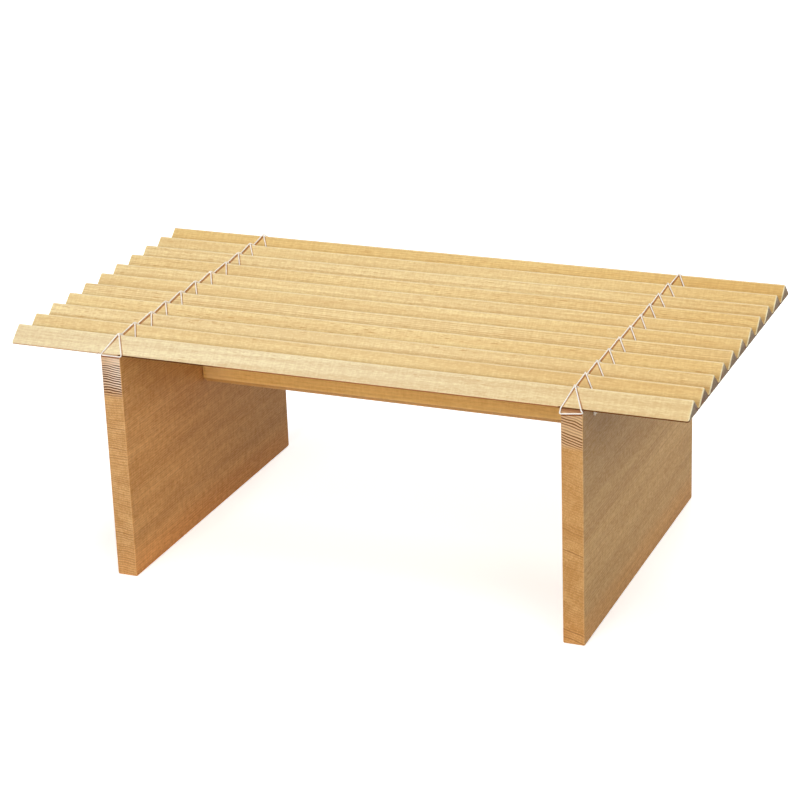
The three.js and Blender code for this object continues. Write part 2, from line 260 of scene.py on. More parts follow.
def add_piece(node, mesh, material):
    """Object for a mesh, which stands for a node of the frame and rides where it does."""
    piece = bpy.data.objects.new(f"{node}_fine", mesh)
    bpy.context.collection.objects.link(piece)
    set_material(mesh, material)
    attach(piece, "root")
    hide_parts(node)
    return piece


def mesh_points(mesh):
    points = np.empty(len(mesh.vertices) * 3)
    mesh.vertices.foreach_get("co", points)
    return points.reshape(-1, 3)


def store_points(mesh, name, values, kind="FLOAT"):
    field = {"FLOAT": "value", "FLOAT_VECTOR": "vector"}[kind]
    attribute = mesh.attributes.new(name, kind, "POINT")
    attribute.data.foreach_set(field, np.ascontiguousarray(values, dtype=np.float32).ravel())


def stations(half, middle, radius, steps):
    """Places along X from end to end, and how far the section is drawn in at each.

    Near an end both follow a quarter circle. The outermost station lies on the end face a little
    further in, so that the face shades as a flat one.
    """
    flat_margin = 0.4 * MM
    angles = np.linspace(0, np.pi / 2, steps + 1)
    reach = np.concatenate([[0], radius * (1 - np.cos(angles))])
    inset = np.concatenate([[radius + flat_margin], radius * (1 - np.sin(angles))])
    x = np.concatenate([-half + reach, middle, half - reach[::-1]])
    return x, np.concatenate([inset, np.zeros(len(middle)), inset[::-1]])


def carried_mesh(name, x, section):
    """Closed mesh through the section in Y and Z at each place along X."""
    along = np.broadcast_to(x[:, None, None], section.shape[:2] + (1,))
    return lofted_mesh(name, np.concatenate([along, section], axis=2))


def block_mesh(node, corner_radius, end_radius, flatness=0.0):
    """Rounded rectangle in Y and Z carried along X to fill a node's box, its end edges rounded.

    An inset shrinks the corner arcs about their own centres, which moves every side in by the inset.
    The flatness is how far each arc is pressed towards its chord, 1 for a flat chamfer.
    """
    arc_steps = 6
    side_points = 14
    end_steps = 5
    middle_points = 9
    low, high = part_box(node)
    half_depth = (high.y - low.y) / 2
    corners = np.array([[-1, low.z], [1, low.z], [1, high.z], [-1, high.z]]) * [half_depth, 1]
    inward = np.array([[1, 1], [-1, 1], [-1, -1], [1, -1]]) * corner_radius
    centres = corners + inward
    angles = np.pi + np.pi / 2 * (np.arange(4)[:, None] + np.linspace(0, 1, arc_steps + 1))
    spokes = np.stack([np.cos(angles), np.sin(angles)], axis=-1)
    half = (high.x - low.x) / 2
    middle = np.linspace(-half + 2 * end_radius, half - 2 * end_radius, middle_points)
    x, insets = stations(half, middle, end_radius, end_steps)
    radii = corner_radius - insets
    along_chord = np.linspace(0, 1, arc_steps + 1)[:, None]
    chords = spokes[:, :1] + along_chord * (spokes[:, -1:] - spokes[:, :1])
    spokes = spokes + flatness * (chords - spokes)
    arcs = centres[None, :, None] + radii[:, None, None, None] * spokes[None]
    ends = np.roll(arcs[:, :, 0], -1, axis=1)
    along_side = crowded_shares(side_points)[None, None, :, None]
    sides = arcs[:, :, -1:] + along_side * (ends - arcs[:, :, -1])[:, :, None]
    section = np.concatenate([arcs, sides], axis=2).reshape(len(x), -1, 2)
    return carried_mesh(f"{node}_fine", middle_of(node).x + x, section)


def lathe_mesh(name, profile, y, z):
    """Round solid about an axis along X: each point of the profile is an X place and a radius."""
    sides = 40
    angles = 2 * np.pi * np.arange(sides) / sides
    circle = np.stack([np.zeros(sides), np.cos(angles), np.sin(angles)], axis=-1)
    rings = profile[:, 1][:, None, None] * circle[None]
    rings = rings + np.array([0, y, z]) + profile[:, :1, None] * np.array([1, 0, 0])
    return lofted_mesh(name, rings)


def cut_away(piece, cutters):
    """Subtract closed meshes from a piece, and keep the result as its mesh, flat where it was flat."""
    crease = math.radians(35)
    material = piece.data.materials[0]
    cutter = bpy.data.objects.new("cutter", joined_mesh("cutter", cutters))
    bpy.context.collection.objects.link(cutter)
    cut = piece.modifiers.new("cut", "BOOLEAN")
    cut.operation = "DIFFERENCE"
    cut.solver = "EXACT"
    cut.object = cutter
    graph = bpy.context.evaluated_depsgraph_get()
    mesh = bpy.data.meshes.new_from_object(piece.evaluated_get(graph))
    piece.modifiers.clear()
    piece.data = mesh
    set_material(mesh, material)
    mesh.shade_smooth()
    mesh.set_sharp_from_angle(angle=crease)
    bpy.data.objects.remove(cutter)


def store_block_edges(mesh, low, high, chamfer=0.0):
    """Attribute that is 1 on a block's edges and 0 on its faces.

    A point on an edge is near two faces at once, so the second smallest distance to a face tells.
    On a chamfered block that distance is the chamfer's own size.
    """
    edge_width = 0.8 * MM
    points = mesh_points(mesh)
    depth = np.minimum(points - np.array(low), np.array(high) - points)
    second = np.sort(depth, axis=1)[:, 1]
    store_points(mesh, "edge", np.clip(1 - np.abs(second - chamfer) / edge_width, 0, 1))


# Shader nodes
def set_inputs(tree, node, inputs):
    """Each input is set to its value, or linked where the value is a socket."""
    for key, value in inputs.items():
        if isinstance(value, bpy.types.NodeSocket):
            tree.links.new(value, node.inputs[key])
        else:
            node.inputs[key].default_value = value


def add_node(tree, kind, inputs=None, **settings):
    node = tree.nodes.new(kind)
    for name, value in settings.items():
        setattr(node, name, value)
    set_inputs(tree, node, inputs or {})
    return node


def object_place(tree):
    """X, Y and Z of a point in the piece's own coordinates."""
    source = add_node(tree, "ShaderNodeTexCoord").outputs["Object"]
    return add_node(tree, "ShaderNodeSeparateXYZ", {0: source}).outputs


def mesh_value(tree, name, output="Fac"):
    """What the mesh stores at its points under a name."""
    return add_node(tree, "ShaderNodeAttribute", attribute_name=name).outputs[output]


def maths(tree, operation, *values, clamp=False):
    node = add_node(tree, "ShaderNodeMath", dict(enumerate(values)), operation=operation, use_clamp=clamp)
    return node.outputs[0]


def times(tree, *values, clamp=False):
    """Product of two or more values, from the left."""
    product = values[0]
    for value in values[1:]:
        product = maths(tree, "MULTIPLY", product, value, clamp=clamp)
    return product


def times_plus(tree, first, second, added, clamp=False):
    """The first value times the second, plus the added one."""
    return maths(tree, "MULTIPLY_ADD", first, second, added, clamp=clamp)


def less(tree, value, taken):
    return maths(tree, "SUBTRACT", value, taken)


def ramp(tree, value, low, high, to_low=0.0, to_high=1.0):
    """Smooth step of a value from one range to another."""
    inputs = {"Value": value, "From Min": low, "From Max": high, "To Min": to_low, "To Max": to_high}
    node = add_node(tree, "ShaderNodeMapRange", inputs, interpolation_type="SMOOTHSTEP")
    return node.outputs["Result"]


def blend(tree, factor, first, second, mode="MIX"):
    """Colour between two, or their blend in another mode."""
    inputs = {0: factor, 6: first, 7: second}
    node = add_node(tree, "ShaderNodeMix", inputs, data_type="RGBA", blend_type=mode)
    return node.outputs[2]


def stretched_noise(tree, place, stretch, detail=2.0, roughness=0.5):
    """Noise whose pattern has the given number of cells for each unit of each axis."""
    scaled = add_node(tree, "ShaderNodeVectorMath", {0: place, 1: stretch}, operation="MULTIPLY").outputs[0]
    inputs = {"Vector": scaled, "Scale": 1.0, "Detail": detail, "Roughness": roughness}
    return add_node(tree, "ShaderNodeTexNoise", inputs).outputs["Fac"]


def spread(tree, noise, to_low=0.0, to_high=1.0):
    """Noise spread over a whole range, because most of its own values lie close to a half."""
    usual_low = 0.3
    usual_high = 0.7
    return ramp(tree, noise, usual_low, usual_high, to_low, to_high)


def new_group(name, inputs, outputs):
    """Shader group with named sockets. Returns it with its input and output nodes."""
    group = bpy.data.node_groups.new(name, "ShaderNodeTree")
    kinds = {"colour": "NodeSocketColor", "number": "NodeSocketFloat", "vector": "NodeSocketVector"}
    for in_out, sockets in (("INPUT", inputs), ("OUTPUT", outputs)):
        for socket, kind in sockets.items():
            group.interface.new_socket(name=socket, in_out=in_out, socket_type=kinds[kind])
    return group, group.nodes.new("NodeGroupInput").outputs, group.nodes.new("NodeGroupOutput").inputs


def use_group(tree, name, inputs):
    return add_node(tree, "ShaderNodeGroup", inputs, node_tree=bpy.data.node_groups[name]).outputs


def make_wood_figure():
    """Planed softwood. Its place is in millimetres: X along the grain, Y across the growth rings."""
    inputs = {
        "Place": "vector",
        "Pale": "colour",
        "Deep": "colour",
        "Line": "colour",
        "Ring spacing": "number",
        "Ring bend": "number",
        "Ring strength": "number",
        "Bold rings": "number",
        "Streak strength": "number",
        "Grit strength": "number",
        "Fleck strength": "number",
    }
    outputs = {"Color": "colour", "Roughness": "number", "Height": "number"}
    group, given, made = new_group("Wood figure", inputs, outputs)
    place = given["Place"]
    broad = stretched_noise(group, place, (0.007, 0.09, 0.07), 2.0)
    bend = stretched_noise(group, place, (0.005, 0.06, 0.06), 2.0)
    streak = stretched_noise(group, place, (0.018, 0.9, 0.9), 3.0, 0.6)
    dash = stretched_noise(group, place, (0.3, 2.0, 2.0), 2.0, 0.6)
    hatch = stretched_noise(group, place, (1.0, 0.2, 0.2), 1.0)
    ray = stretched_noise(group, place, (0.5, 0.12, 1.4), 1.0)
    fleck = stretched_noise(group, place, (0.16, 1.9, 1.9), 1.0)
    fleck_field = stretched_noise(group, place, (0.012, 0.12, 0.12), 1.0)

    # Growth rings: a slow bend of the ring planes, then late wood that darkens and stops sharply
    late_wood = (0.2, 0.7)
    ring_end = (0.85, 1.0)
    weakest_ring = 0.45
    bold_chance = (0.86, 0.93)
    across = add_node(group, "ShaderNodeSeparateXYZ", {0: place}).outputs["Y"]
    bent = times_plus(group, bend, given["Ring bend"], across)
    phase = maths(group, "DIVIDE", bent, given["Ring spacing"])
    share = maths(group, "FRACT", phase)
    late = ramp(group, share, *late_wood)
    stop = ramp(group, share, *ring_end, 1.0, 0.0)
    number = maths(group, "FLOOR", phase)
    chance = add_node(group, "ShaderNodeTexWhiteNoise", {"W": number}, noise_dimensions="1D")
    chance = chance.outputs["Value"]
    usual = times(group, ramp(group, chance, 0.0, 1.0, weakest_ring, 1.0), given["Ring strength"])
    bold = times(group, ramp(group, chance, *bold_chance), given["Bold rings"])
    ring = times(group, late, stop, maths(group, "MAXIMUM", usual, bold))

    # Short dark flecks in some parts of the wood
    fleck_edge = (0.62, 0.7)
    field_edge = (0.42, 0.56)
    in_field = ramp(group, fleck_field, *field_edge)
    fleck = times(group, ramp(group, fleck, *fleck_edge), in_field, given["Fleck strength"])

    # Tone between pale and deep: long streaks, slow patches, and a fine grit of dashes, hatches and rays
    mean_tone = -0.14
    patch_share = 0.3
    dash_edge = (0.35, 0.65)
    dash_share = 0.5
    hatch_share = 0.28
    ray_share = 0.22
    tone = times_plus(group, spread(group, streak), given["Streak strength"], mean_tone)
    tone = times_plus(group, spread(group, broad), patch_share, tone)
    grit = times(group, ramp(group, dash, *dash_edge), dash_share)
    grit = times_plus(group, spread(group, hatch), hatch_share, grit)
    grit = times_plus(group, spread(group, ray), ray_share, grit)
    tone = times_plus(group, grit, given["Grit strength"], tone, clamp=True)
    colour = blend(group, tone, given["Pale"], given["Deep"])
    lines = maths(group, "ADD", ring, fleck, clamp=True)
    group.links.new(blend(group, lines, colour, given["Line"]), made["Color"])

    # Late wood is smoother and stands proud, and the fibres between are grooves
    roughness = (0.5, 0.64)
    ring_polish = -0.12
    groove = -0.5
    ring_height = 0.35
    group.links.new(times_plus(group, ring, ring_polish, spread(group, dash, *roughness)), made["Roughness"])
    height = times_plus(group, dash, groove, times(group, streak, groove))
    group.links.new(times_plus(group, ring, ring_height, height), made["Height"])


def make_rubbed_and_highlit_edge():
    """Paler edges, partly rubbed and partly a painted highlight, broken up along their length."""
    patch_edge = (0.25, 0.6)
    least_wear = 0.45
    worn_from = 0.2
    inputs = {"Edge": "number", "Place": "vector", "Color": "colour", "Worn and lit": "colour", "Amount": "number"}
    group, given, made = new_group("Rubbed and highlit edge", inputs, {"Color": "colour"})
    patches = stretched_noise(group, given["Place"], (0.12, 0.3, 0.3), 3.0)
    amount = times(group, given["Amount"], ramp(group, patches, *patch_edge, least_wear, 1.0))
    factor = times(group, ramp(group, given["Edge"], worn_from, 1.0), amount)
    group.links.new(blend(group, factor, given["Color"], given["Worn and lit"]), made["Color"])


def make_end_mask():
    """Mask that is 1 where the face looks along the grain."""
    facing_edge = (0.75, 0.97)
    group, given, made = new_group("End mask", {"Along": "vector"}, {"Mask": "number"})
    normal = add_node(group, "ShaderNodeTexCoord").outputs["Normal"]
    facing = add_node(group, "ShaderNodeVectorMath", {0: normal, 1: given["Along"]}, operation="DOT_PRODUCT")
    mask = ramp(group, maths(group, "ABSOLUTE", facing.outputs["Value"]), *facing_edge)
    group.links.new(mask, made["Mask"])


def make_end_grain():
    """End grain soaks up light: the colour is tinted there, and broken up by pores."""
    pore_depths = (0.8, 1.15)
    inputs = {"Color": "colour", "Place": "vector", "Mask": "number", "Tint": "colour", "Depth": "number"}
    group, given, made = new_group("End grain", inputs, {"Color": "colour"})
    pores = stretched_noise(group, given["Place"], (0.5, 1.6, 1.6), 3.0)
    depth = times(group, given["Depth"], spread(group, pores, *pore_depths))
    factor = times(group, given["Mask"], depth, clamp=True)
    group.links.new(blend(group, factor, given["Color"], given["Tint"], "MULTIPLY"), made["Color"])


def make_thread_shade():
    """Painted shadow beside the two strands that cross a slat.

    Seen from above, each strand runs straight from the crossing on the ridge to its foot at the
    slat's lower edge, and the mask falls off with the distance along X from the nearer one.
    """
    # The painted shadow leans this far towards +X, away from the light
    lean = 0.3 * MM
    full = 0.15 * MM
    reach = 0.5 * MM
    darkest = 0.75
    turn = 0.02
    inputs = {
        "Ridge": "number",
        "Half width": "number",
        "Crossing": "number",
        "Front feet": "vector",
        "Back feet": "vector",
        "Half thread": "number",
    }
    group, given, made = new_group("Thread shade", inputs, {"Mask": "number"})
    place = object_place(group)
    from_ridge = maths(group, "DIVIDE", less(group, place["Y"], given["Ridge"]), given["Half width"])
    down = maths(group, "MINIMUM", maths(group, "ABSOLUTE", from_ridge), 1.0)
    behind = ramp(group, from_ridge, -turn, turn)
    inputs = {0: behind, 4: given["Front feet"], 5: given["Back feet"]}
    feet = add_node(group, "ShaderNodeMix", inputs, data_type="VECTOR").outputs[1]
    feet = add_node(group, "ShaderNodeSeparateXYZ", {0: feet}).outputs
    x = less(group, place["X"], lean)
    distances = []
    for foot in (feet["X"], feet["Y"]):
        run = less(group, foot, given["Crossing"])
        strand = times_plus(group, down, run, given["Crossing"])
        distances.append(maths(group, "ABSOLUTE", less(group, x, strand)))
    past_thread = less(group, maths(group, "MINIMUM", *distances), given["Half thread"])
    group.links.new(ramp(group, past_thread, full, reach, darkest, 0.0), made["Mask"])


def grain_place(tree, along, rings, offset):
    """Object coordinates in millimetres, turned so that X runs along the grain and Y across the rings."""
    along = Vector(along).normalized()
    rings = Vector(rings).normalized()
    turned = Matrix((along, rings, along.cross(rings))).to_euler("XYZ")
    source = add_node(tree, "ShaderNodeTexCoord").outputs["Object"]
    per_millimetre = 1 / MM
    inputs = {"Vector": source, "Location": offset, "Rotation": turned, "Scale": (per_millimetre,) * 3}
    return add_node(tree, "ShaderNodeMapping", inputs).outputs["Vector"]


def rgba(colour):
    return (*colour, 1.0)


def mixed(first, second, share):
    return tuple(a + (b - a) * share for a, b in zip(first, second))


def new_material(name):
    material = bpy.data.materials.new(name)
    material.use_nodes = True
    shader = material.node_tree.nodes["Principled BSDF"]
    return material, material.node_tree, shader


def painted_seam_shade(tree, colour, deck_depth, deck_reach, threads):
    """Colour with painted shade: a painted contact shadow where a piece meets the deck,
    painted shade on edges marked as under, and painted shadows beside the threads.

    A little painted shade tints the wood brown, and more covers it. Its share comes with the colour.
    """
    shade_tint = (0.5, 0.22, 0.1, 1.0)
    painted_shade = (0.07, 0.025, 0.007, 1.0)
    under_depth = 0.95
    thread_depth = 0.5
    shade_tint_speed = 2.0
    height = object_place(tree)["Z"]
    near = ramp(tree, height, leg_height - deck_reach, leg_height - deck_reach / 4, 0.0, deck_depth)
    shade = maths(tree, "MAXIMUM", near, times(tree, mesh_value(tree, "under"), under_depth))
    shade = maths(tree, "MAXIMUM", shade, times(tree, threads, thread_depth))
    shade_tinted = blend(tree, times(tree, shade, shade_tint_speed, clamp=True), colour, shade_tint, "MULTIPLY")
    return blend(tree, times(tree, shade, shade), shade_tinted, painted_shade), shade


def bump_normal(tree, height, strength, distance):
    inputs = {"Strength": strength, "Distance": distance, "Height": height}
    return add_node(tree, "ShaderNodeBump", inputs).outputs["Normal"]


def wood_material(name, along, rings, offset, colours, looks):
    """Planed wood on the Principled shader.

    Colours are pale, deep, line, and worn and lit. Looks hold the figure's numbers, the tint and depth of the
    end grain, the wear and painted highlight of the edges, the depth and reach of the painted shade under the
    deck, and the relief. They may hold functions for the painted shadow beside the threads and for how the
    wood varies, painted light and shade among it.
    """
    faces_share = 0.25
    relief_strength = 0.5
    gloss = 0.15
    material, tree, shader = new_material(name)
    pale, deep, line, worn_and_lit = (rgba(colour) for colour in colours)
    place = grain_place(tree, along, rings, offset)
    end_mask = use_group(tree, "End mask", {"Along": tuple(along)})["Mask"]
    ring_strength = looks["ring_strength"]
    bold_rings = looks["bold_rings"]
    threads = looks["threads"](tree, end_mask) if "threads" in looks else 0.0
    if "field" in looks:
        pale, deep, line, ring_strength = looks["field"](tree, pale, deep, line, ring_strength, end_mask)
    figure = use_group(tree, "Wood figure", {
        "Place": place,
        "Pale": pale,
        "Deep": deep,
        "Line": line,
        "Ring spacing": looks["ring_spacing"],
        "Ring bend": looks["ring_bend"],
        "Ring strength": ring_strength,
        "Bold rings": ramp(tree, end_mask, 0.0, 1.0, bold_rings * faces_share, bold_rings),
        "Streak strength": looks["streak_strength"],
        "Grit strength": looks["grit_strength"],
        "Fleck strength": looks["fleck_strength"],
    })
    ends = use_group(tree, "End grain", {
        "Color": figure["Color"],
        "Place": place,
        "Mask": end_mask,
        "Tint": rgba(looks["end_tint"]),
        "Depth": looks["end_depth"],
    })
    rubbed_and_lit = use_group(tree, "Rubbed and highlit edge", {
        "Edge": mesh_value(tree, "edge"),
        "Place": place,
        "Color": ends["Color"],
        "Worn and lit": worn_and_lit,
        "Amount": looks["wear_and_highlight"],
    })
    # Painted shade at the deck, on the under edges and beside the threads
    colour, painted_shade_amount = painted_seam_shade(tree, rubbed_and_lit["Color"], *looks["painted_shade"], threads)
    set_inputs(tree, shader, {
        "Base Color": colour,
        "Roughness": maths(tree, "MAXIMUM", figure["Roughness"], painted_shade_amount),
        "Normal": bump_normal(tree, figure["Height"], relief_strength, looks["relief"]),
        "Specular IOR Level": gloss,
    })
    return material


def thread_material(settings):
    """Twisted cotton: painted shade in the grooves between the plies, loose fibres and a soft sheen."""
    groove_edge = (-1.0, 0.1)
    groove_share = 0.35
    fibre_edge = (0.4, 0.7)
    fibre_share = 0.25
    underside_from = 0.8
    underside_share = 0.5
    fibre_height = 0.6
    ply_height = 0.4
    relief_strength = 0.6
    relief = 0.06 * MM
    roughness = (0.78, 0.95)
    sheen = 0.5
    gloss = 0.2
    material, tree, shader = new_material("cotton_thread")
    lay = mesh_value(tree, "lay")
    fibres = stretched_noise(tree, mesh_value(tree, "yarn", "Vector"), (5.0, 5.0, 1.3), 3.0)
    groove = ramp(tree, lay, *groove_edge, 1.0, 0.0)
    fibre_tone = ramp(tree, fibres, *fibre_edge, 0.0, fibre_share)
    shade = times_plus(tree, groove, groove_share, fibre_tone, clamp=True)
    colour = blend(tree, shade, rgba(settings.colour), rgba(settings.shade))
    # Painted shade, with some soil, on the side that faces down onto the wood
    shaded_and_soiled = ramp(tree, mesh_value(tree, "low"), underside_from, 1.0, 0.0, underside_share)
    height = times_plus(tree, fibres, fibre_height, times(tree, lay, ply_height))
    set_inputs(tree, shader, {
        "Base Color": blend(tree, shaded_and_soiled, colour, rgba(settings.underside_shade_and_soil)),
        "Roughness": spread(tree, fibres, *roughness),
        "Normal": bump_normal(tree, height, relief_strength, relief),
        "Sheen Weight": sheen,
        "Specular IOR Level": gloss,
    })
    return material


# Where the threads run
# Where each slat's two strands cross, in millimetres outwards from the middle of the leg, front slat first
strand_crossings = {
    -1: [-1.8, -1.6, -1.9, -1.1, -1.1, -0.8, -1.4, -2.2, -1.1, 0.0, -0.1],
    1: [-0.8, -1.4, -1.2, -0.8, -1.0, -0.7, -0.7, -1.2, -1.6, -1.6, -0.6],
}

# How far below the deck the thread wraps round a leg's front and back edge, in millimetres, at the
# inner face and then at the outer one
edge_wraps = {-1: (0.4, 0.4), 1: (3.0, 1.6)}

# Where a strand meets the deck's edge, inner strand then outer, as a share of the way to the leg's face
edge_pulls = {-1: (1.25, 0.74), 1: (0.84, 0.88)}


def strand_reach(thread):
    """From the middle of a leg to the middle of a strand on its face."""
    return leg_thickness / 2 + thread.diameter / 2 + thread.clearance


def shade_beside_strands(tree, number, side, thread):
    """Mask of the painted shadow beside the strands of one leg on one slat."""
    middle = side * leg_spacing / 2
    reach = side * strand_reach(thread)
    pull_inner, pull_outer = edge_pulls[side]
    straight = (middle + reach, middle - reach, 0.0)
    pulled = (middle + reach * pull_outer, middle - reach * pull_inner, 0.0)
    return use_group(tree, "Thread shade", {
        "Ridge": middle_of(slat_names[number]).y,
        "Half width": slat_pitch / 2,
        "Crossing": middle + side * strand_crossings[side][number] * MM,
        "Front feet": pulled if number == 0 else straight,
        "Back feet": pulled if number == len(slat_names) - 1 else straight,
        "Half thread": thread.diameter / 2,
    })["Mask"]


def shade_under_wrap(tree, side, thread):
    """Mask of the painted shadow under the strand that wraps round a leg's front or back edge."""
    # The painted shadow falls this far below the strand
    fall = 0.8 * MM
    shade_reach = 0.5 * MM
    wrap_inner, wrap_outer = edge_wraps[side]
    place = object_place(tree)
    outwards = less(tree, place["X"], side * leg_spacing / 2)
    share = maths(tree, "DIVIDE", outwards, side * strand_reach(thread))
    lowering = -(wrap_outer - wrap_inner) / 2 * MM
    mean_height = leg_height - (wrap_outer + wrap_inner) / 2 * MM
    strand = times_plus(tree, share, lowering, mean_height - fall)
    distance = maths(tree, "ABSOLUTE", less(tree, place["Z"], strand))
    past_thread = less(tree, distance, thread.diameter / 2)
    return ramp(tree, past_thread, 0.0, shade_reach, 1.0, 0.0)


# Slats
# How warm each slat's wood is, front first: 0 as the front slat, 0.5 as the middle ones, 1 as the back one
slat_warmth = [0.0, 0.5, 0.36, 0.56, 0.42, 0.54, 0.46, 0.6, 0.44, 0.56, 1.0]


def slat_triangle(slats):
    """Half the base and the height of a slat's section to its sharp corners, and what the rounding takes.

    Rounding a lower corner takes its radius times one over the tangent of half the slope, less one.
    """
    edge_retreat = slats.edge_radius / math.tan(slats.slope / 2) - slats.edge_radius
    half_base = (slat_pitch - slats.joint) / 2 + edge_retreat
    return half_base, half_base * math.tan(slats.slope), edge_retreat


def wander(x, reach, seed):
    """Sum of slow sines along X with seeded phases, never more than the reach."""
    wave_lengths = np.array([0.31, 0.17, 0.093, 0.051])
    phases = np.random.default_rng(seed).uniform(0, 2 * np.pi, len(wave_lengths))
    waves = np.sin(2 * np.pi * x[:, None] / wave_lengths + phases)
    return reach * waves.mean(axis=1)


def slat_stations(slats, thread, length):
    """Places along a slat and the inset of its section there, closer together at ends and notches."""
    end_steps = 6
    even_step = 5 * MM
    even_margin = 4 * MM
    corner_from = 0.5
    corner_steps = 7
    past_corner = 1.3
    beside_notch = np.array([0.2, 0.5, 0.65, 0.8, 0.95, 1.3]) * MM
    decimals = 6
    half = length / 2
    corner = 1 - np.cos(np.linspace(corner_from, np.pi / 2, corner_steps))
    near_end = half - slats.end_radius - slats.corner_radius * np.append(corner, past_corner)
    even = np.arange(-half + even_margin, half - even_margin, even_step)
    strand = strand_reach(thread)
    notches = np.array([side * (leg_spacing / 2 + face * strand) for side in (-1, 1) for face in (-1, 1)])
    near_notch = notches[:, None] + np.concatenate([-beside_notch, beside_notch])
    middle = np.concatenate([even, near_end, -near_end, near_notch.ravel()])
    x, insets = stations(half, np.unique(np.round(middle, decimals)), slats.end_radius, end_steps)
    return x, insets, notches


def slat_mesh(node, slats, thread, seed):
    """Rounded triangle in Y and Z carried along X.

    An inset scales the section about its incentre, which moves its three sides in alike. At the ends
    the lower corners are drawn in along a quarter circle, and at each thread notch the section is
    held inside the notch's wall by a smooth minimum. Slow sines stand for the hand planing.
    """
    arc_steps = 6
    side_points = 22
    crease_degrees = 50
    low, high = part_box(node)
    half_base, rise, edge_retreat = slat_triangle(slats)
    corners = np.array([[-half_base, 0], [half_base, 0], [0, rise]])
    radii = np.array([slats.edge_radius, slats.edge_radius, slats.ridge_radius])
    outline, on_arc = rounded_outline(corners, radii, arc_steps, crowded_shares(side_points))
    slope_length = math.hypot(half_base, rise)
    inradius = half_base * rise / (half_base + slope_length)
    incentre = np.array([0, inradius])

    x, insets, notches = slat_stations(slats, thread, high.x - low.x)
    scale = (1 - insets / inradius)[:, None, None]
    section = incentre + (outline - incentre) * scale

    free = half_base + 1 * MM
    from_end = np.clip((high.x - low.x) / 2 - np.abs(x), 0, slats.corner_radius)
    corner = slats.corner_radius
    rounding = corner - np.sqrt(corner**2 - (corner - from_end) ** 2)
    end_limit = np.where(from_end < corner, half_base - edge_retreat - rounding, free)
    notch_half_width = thread.diameter / 2 + 2 * thread.clearance
    notch_softness = 0.07 * MM
    to_notch = np.abs(x[:, None] - notches).min(axis=1)
    inside = (1 - np.tanh((to_notch - notch_half_width) / (2 * notch_softness))) / 2
    strand_spacing = thread.diameter + thread.strand_gap
    notch_reach = strand_spacing / 2 + thread.diameter / 2 + thread.clearance
    notch_limit = free - (free - slat_pitch / 2 + notch_reach) * inside
    limit = np.minimum(end_limit, notch_limit)[:, None]
    softness = 0.06 * MM
    out = np.abs(section[..., 0])
    held = -softness * np.logaddexp(-out / softness, -limit / softness)
    section[..., 0] = np.sign(section[..., 0]) * held

    lift = wander(x, slats.planing, seed) - slats.planing
    section[..., 1] *= (1 + lift / rise)[:, None]
    section[..., 0] += wander(x, slats.planing, seed + 1)[:, None] * section[..., 1] / rise

    section += np.array([middle_of(node).y, low.z])
    mesh = carried_mesh(f"{node}_fine", x, section)
    mesh.set_sharp_from_angle(angle=math.radians(crease_degrees))

    # Rubbed edges, partly a painted highlight: less on the ridge, and least behind it round the end faces,
    # which the light doesn't catch
    ridge_wear_and_highlight = 0.6
    back_end_wear_and_highlight = 0.25
    at_end = ((insets > 0) & (insets <= slats.end_radius)).astype(float)
    end_wear_and_highlight = np.where(outline[:, 0] > slats.ridge_radius / 2, back_end_wear_and_highlight, 1.0)
    along_edges = np.where(outline[:, 1] > rise / 2, on_arc * ridge_wear_and_highlight, on_arc)
    store_points(mesh, "edge", np.maximum(along_edges, at_end[:, None] * end_wear_and_highlight))

    # Painted shade under the lower edges, at these shares of the way from the middle to a leg's inner face
    under_shade_places = [-1.005, -1.0, -0.6, -0.5, 0.99, 1.0]
    under_shade_levels = [0.35, 1.0, 1.0, 0.6, 0.6, 0.95]
    shaded_edge_reach = 1.75
    under = on_arc * (outline[:, 1] < slats.edge_radius * shaded_edge_reach)
    inner_face = (leg_spacing - leg_thickness) / 2
    along_under_shade = np.interp(x, inner_face * np.array(under_shade_places), under_shade_levels)
    store_points(mesh, "under", along_under_shade[:, None] * under)
    return mesh


def slat_field(number):
    """Function that varies a slat's wood: painted shade low in the valleys, and warmer to the right."""
    valley_shade_tint = (0.88, 0.83, 0.75)
    dark_below = leg_height + 3.0 * MM
    clear_above = leg_height + 4.6 * MM
    warm_tint = (0.93, 0.86, 0.73)
    warm_at = size_of(slat_names[number]).x / 2
    turn = 0.2 * MM
    ridge = middle_of(slat_names[number]).y

    # The first slat has painted valley shade only behind its ridge, and the last one only in front of it
    valley_sides = {0: (0.0, 1.0), len(slat_names) - 1: (1.0, 0.0)}

    def field(tree, pale, deep, line, ring_strength, end_mask):
        place = object_place(tree)
        depth = ramp(tree, place["Z"], dark_below, clear_above, 1.0, 0.0)
        if number in valley_sides:
            side = ramp(tree, place["Y"], ridge - turn, ridge + turn, *valley_sides[number])
            depth = times(tree, depth, side)
        warmth = ramp(tree, place["X"], 0.0, warm_at)
        pale, deep = (blend(tree, depth, colour, rgba(valley_shade_tint), "MULTIPLY") for colour in (pale, deep))
        pale, deep = (blend(tree, warmth, colour, rgba(warm_tint), "MULTIPLY") for colour in (pale, deep))
        return pale, deep, line, ring_strength

    return field


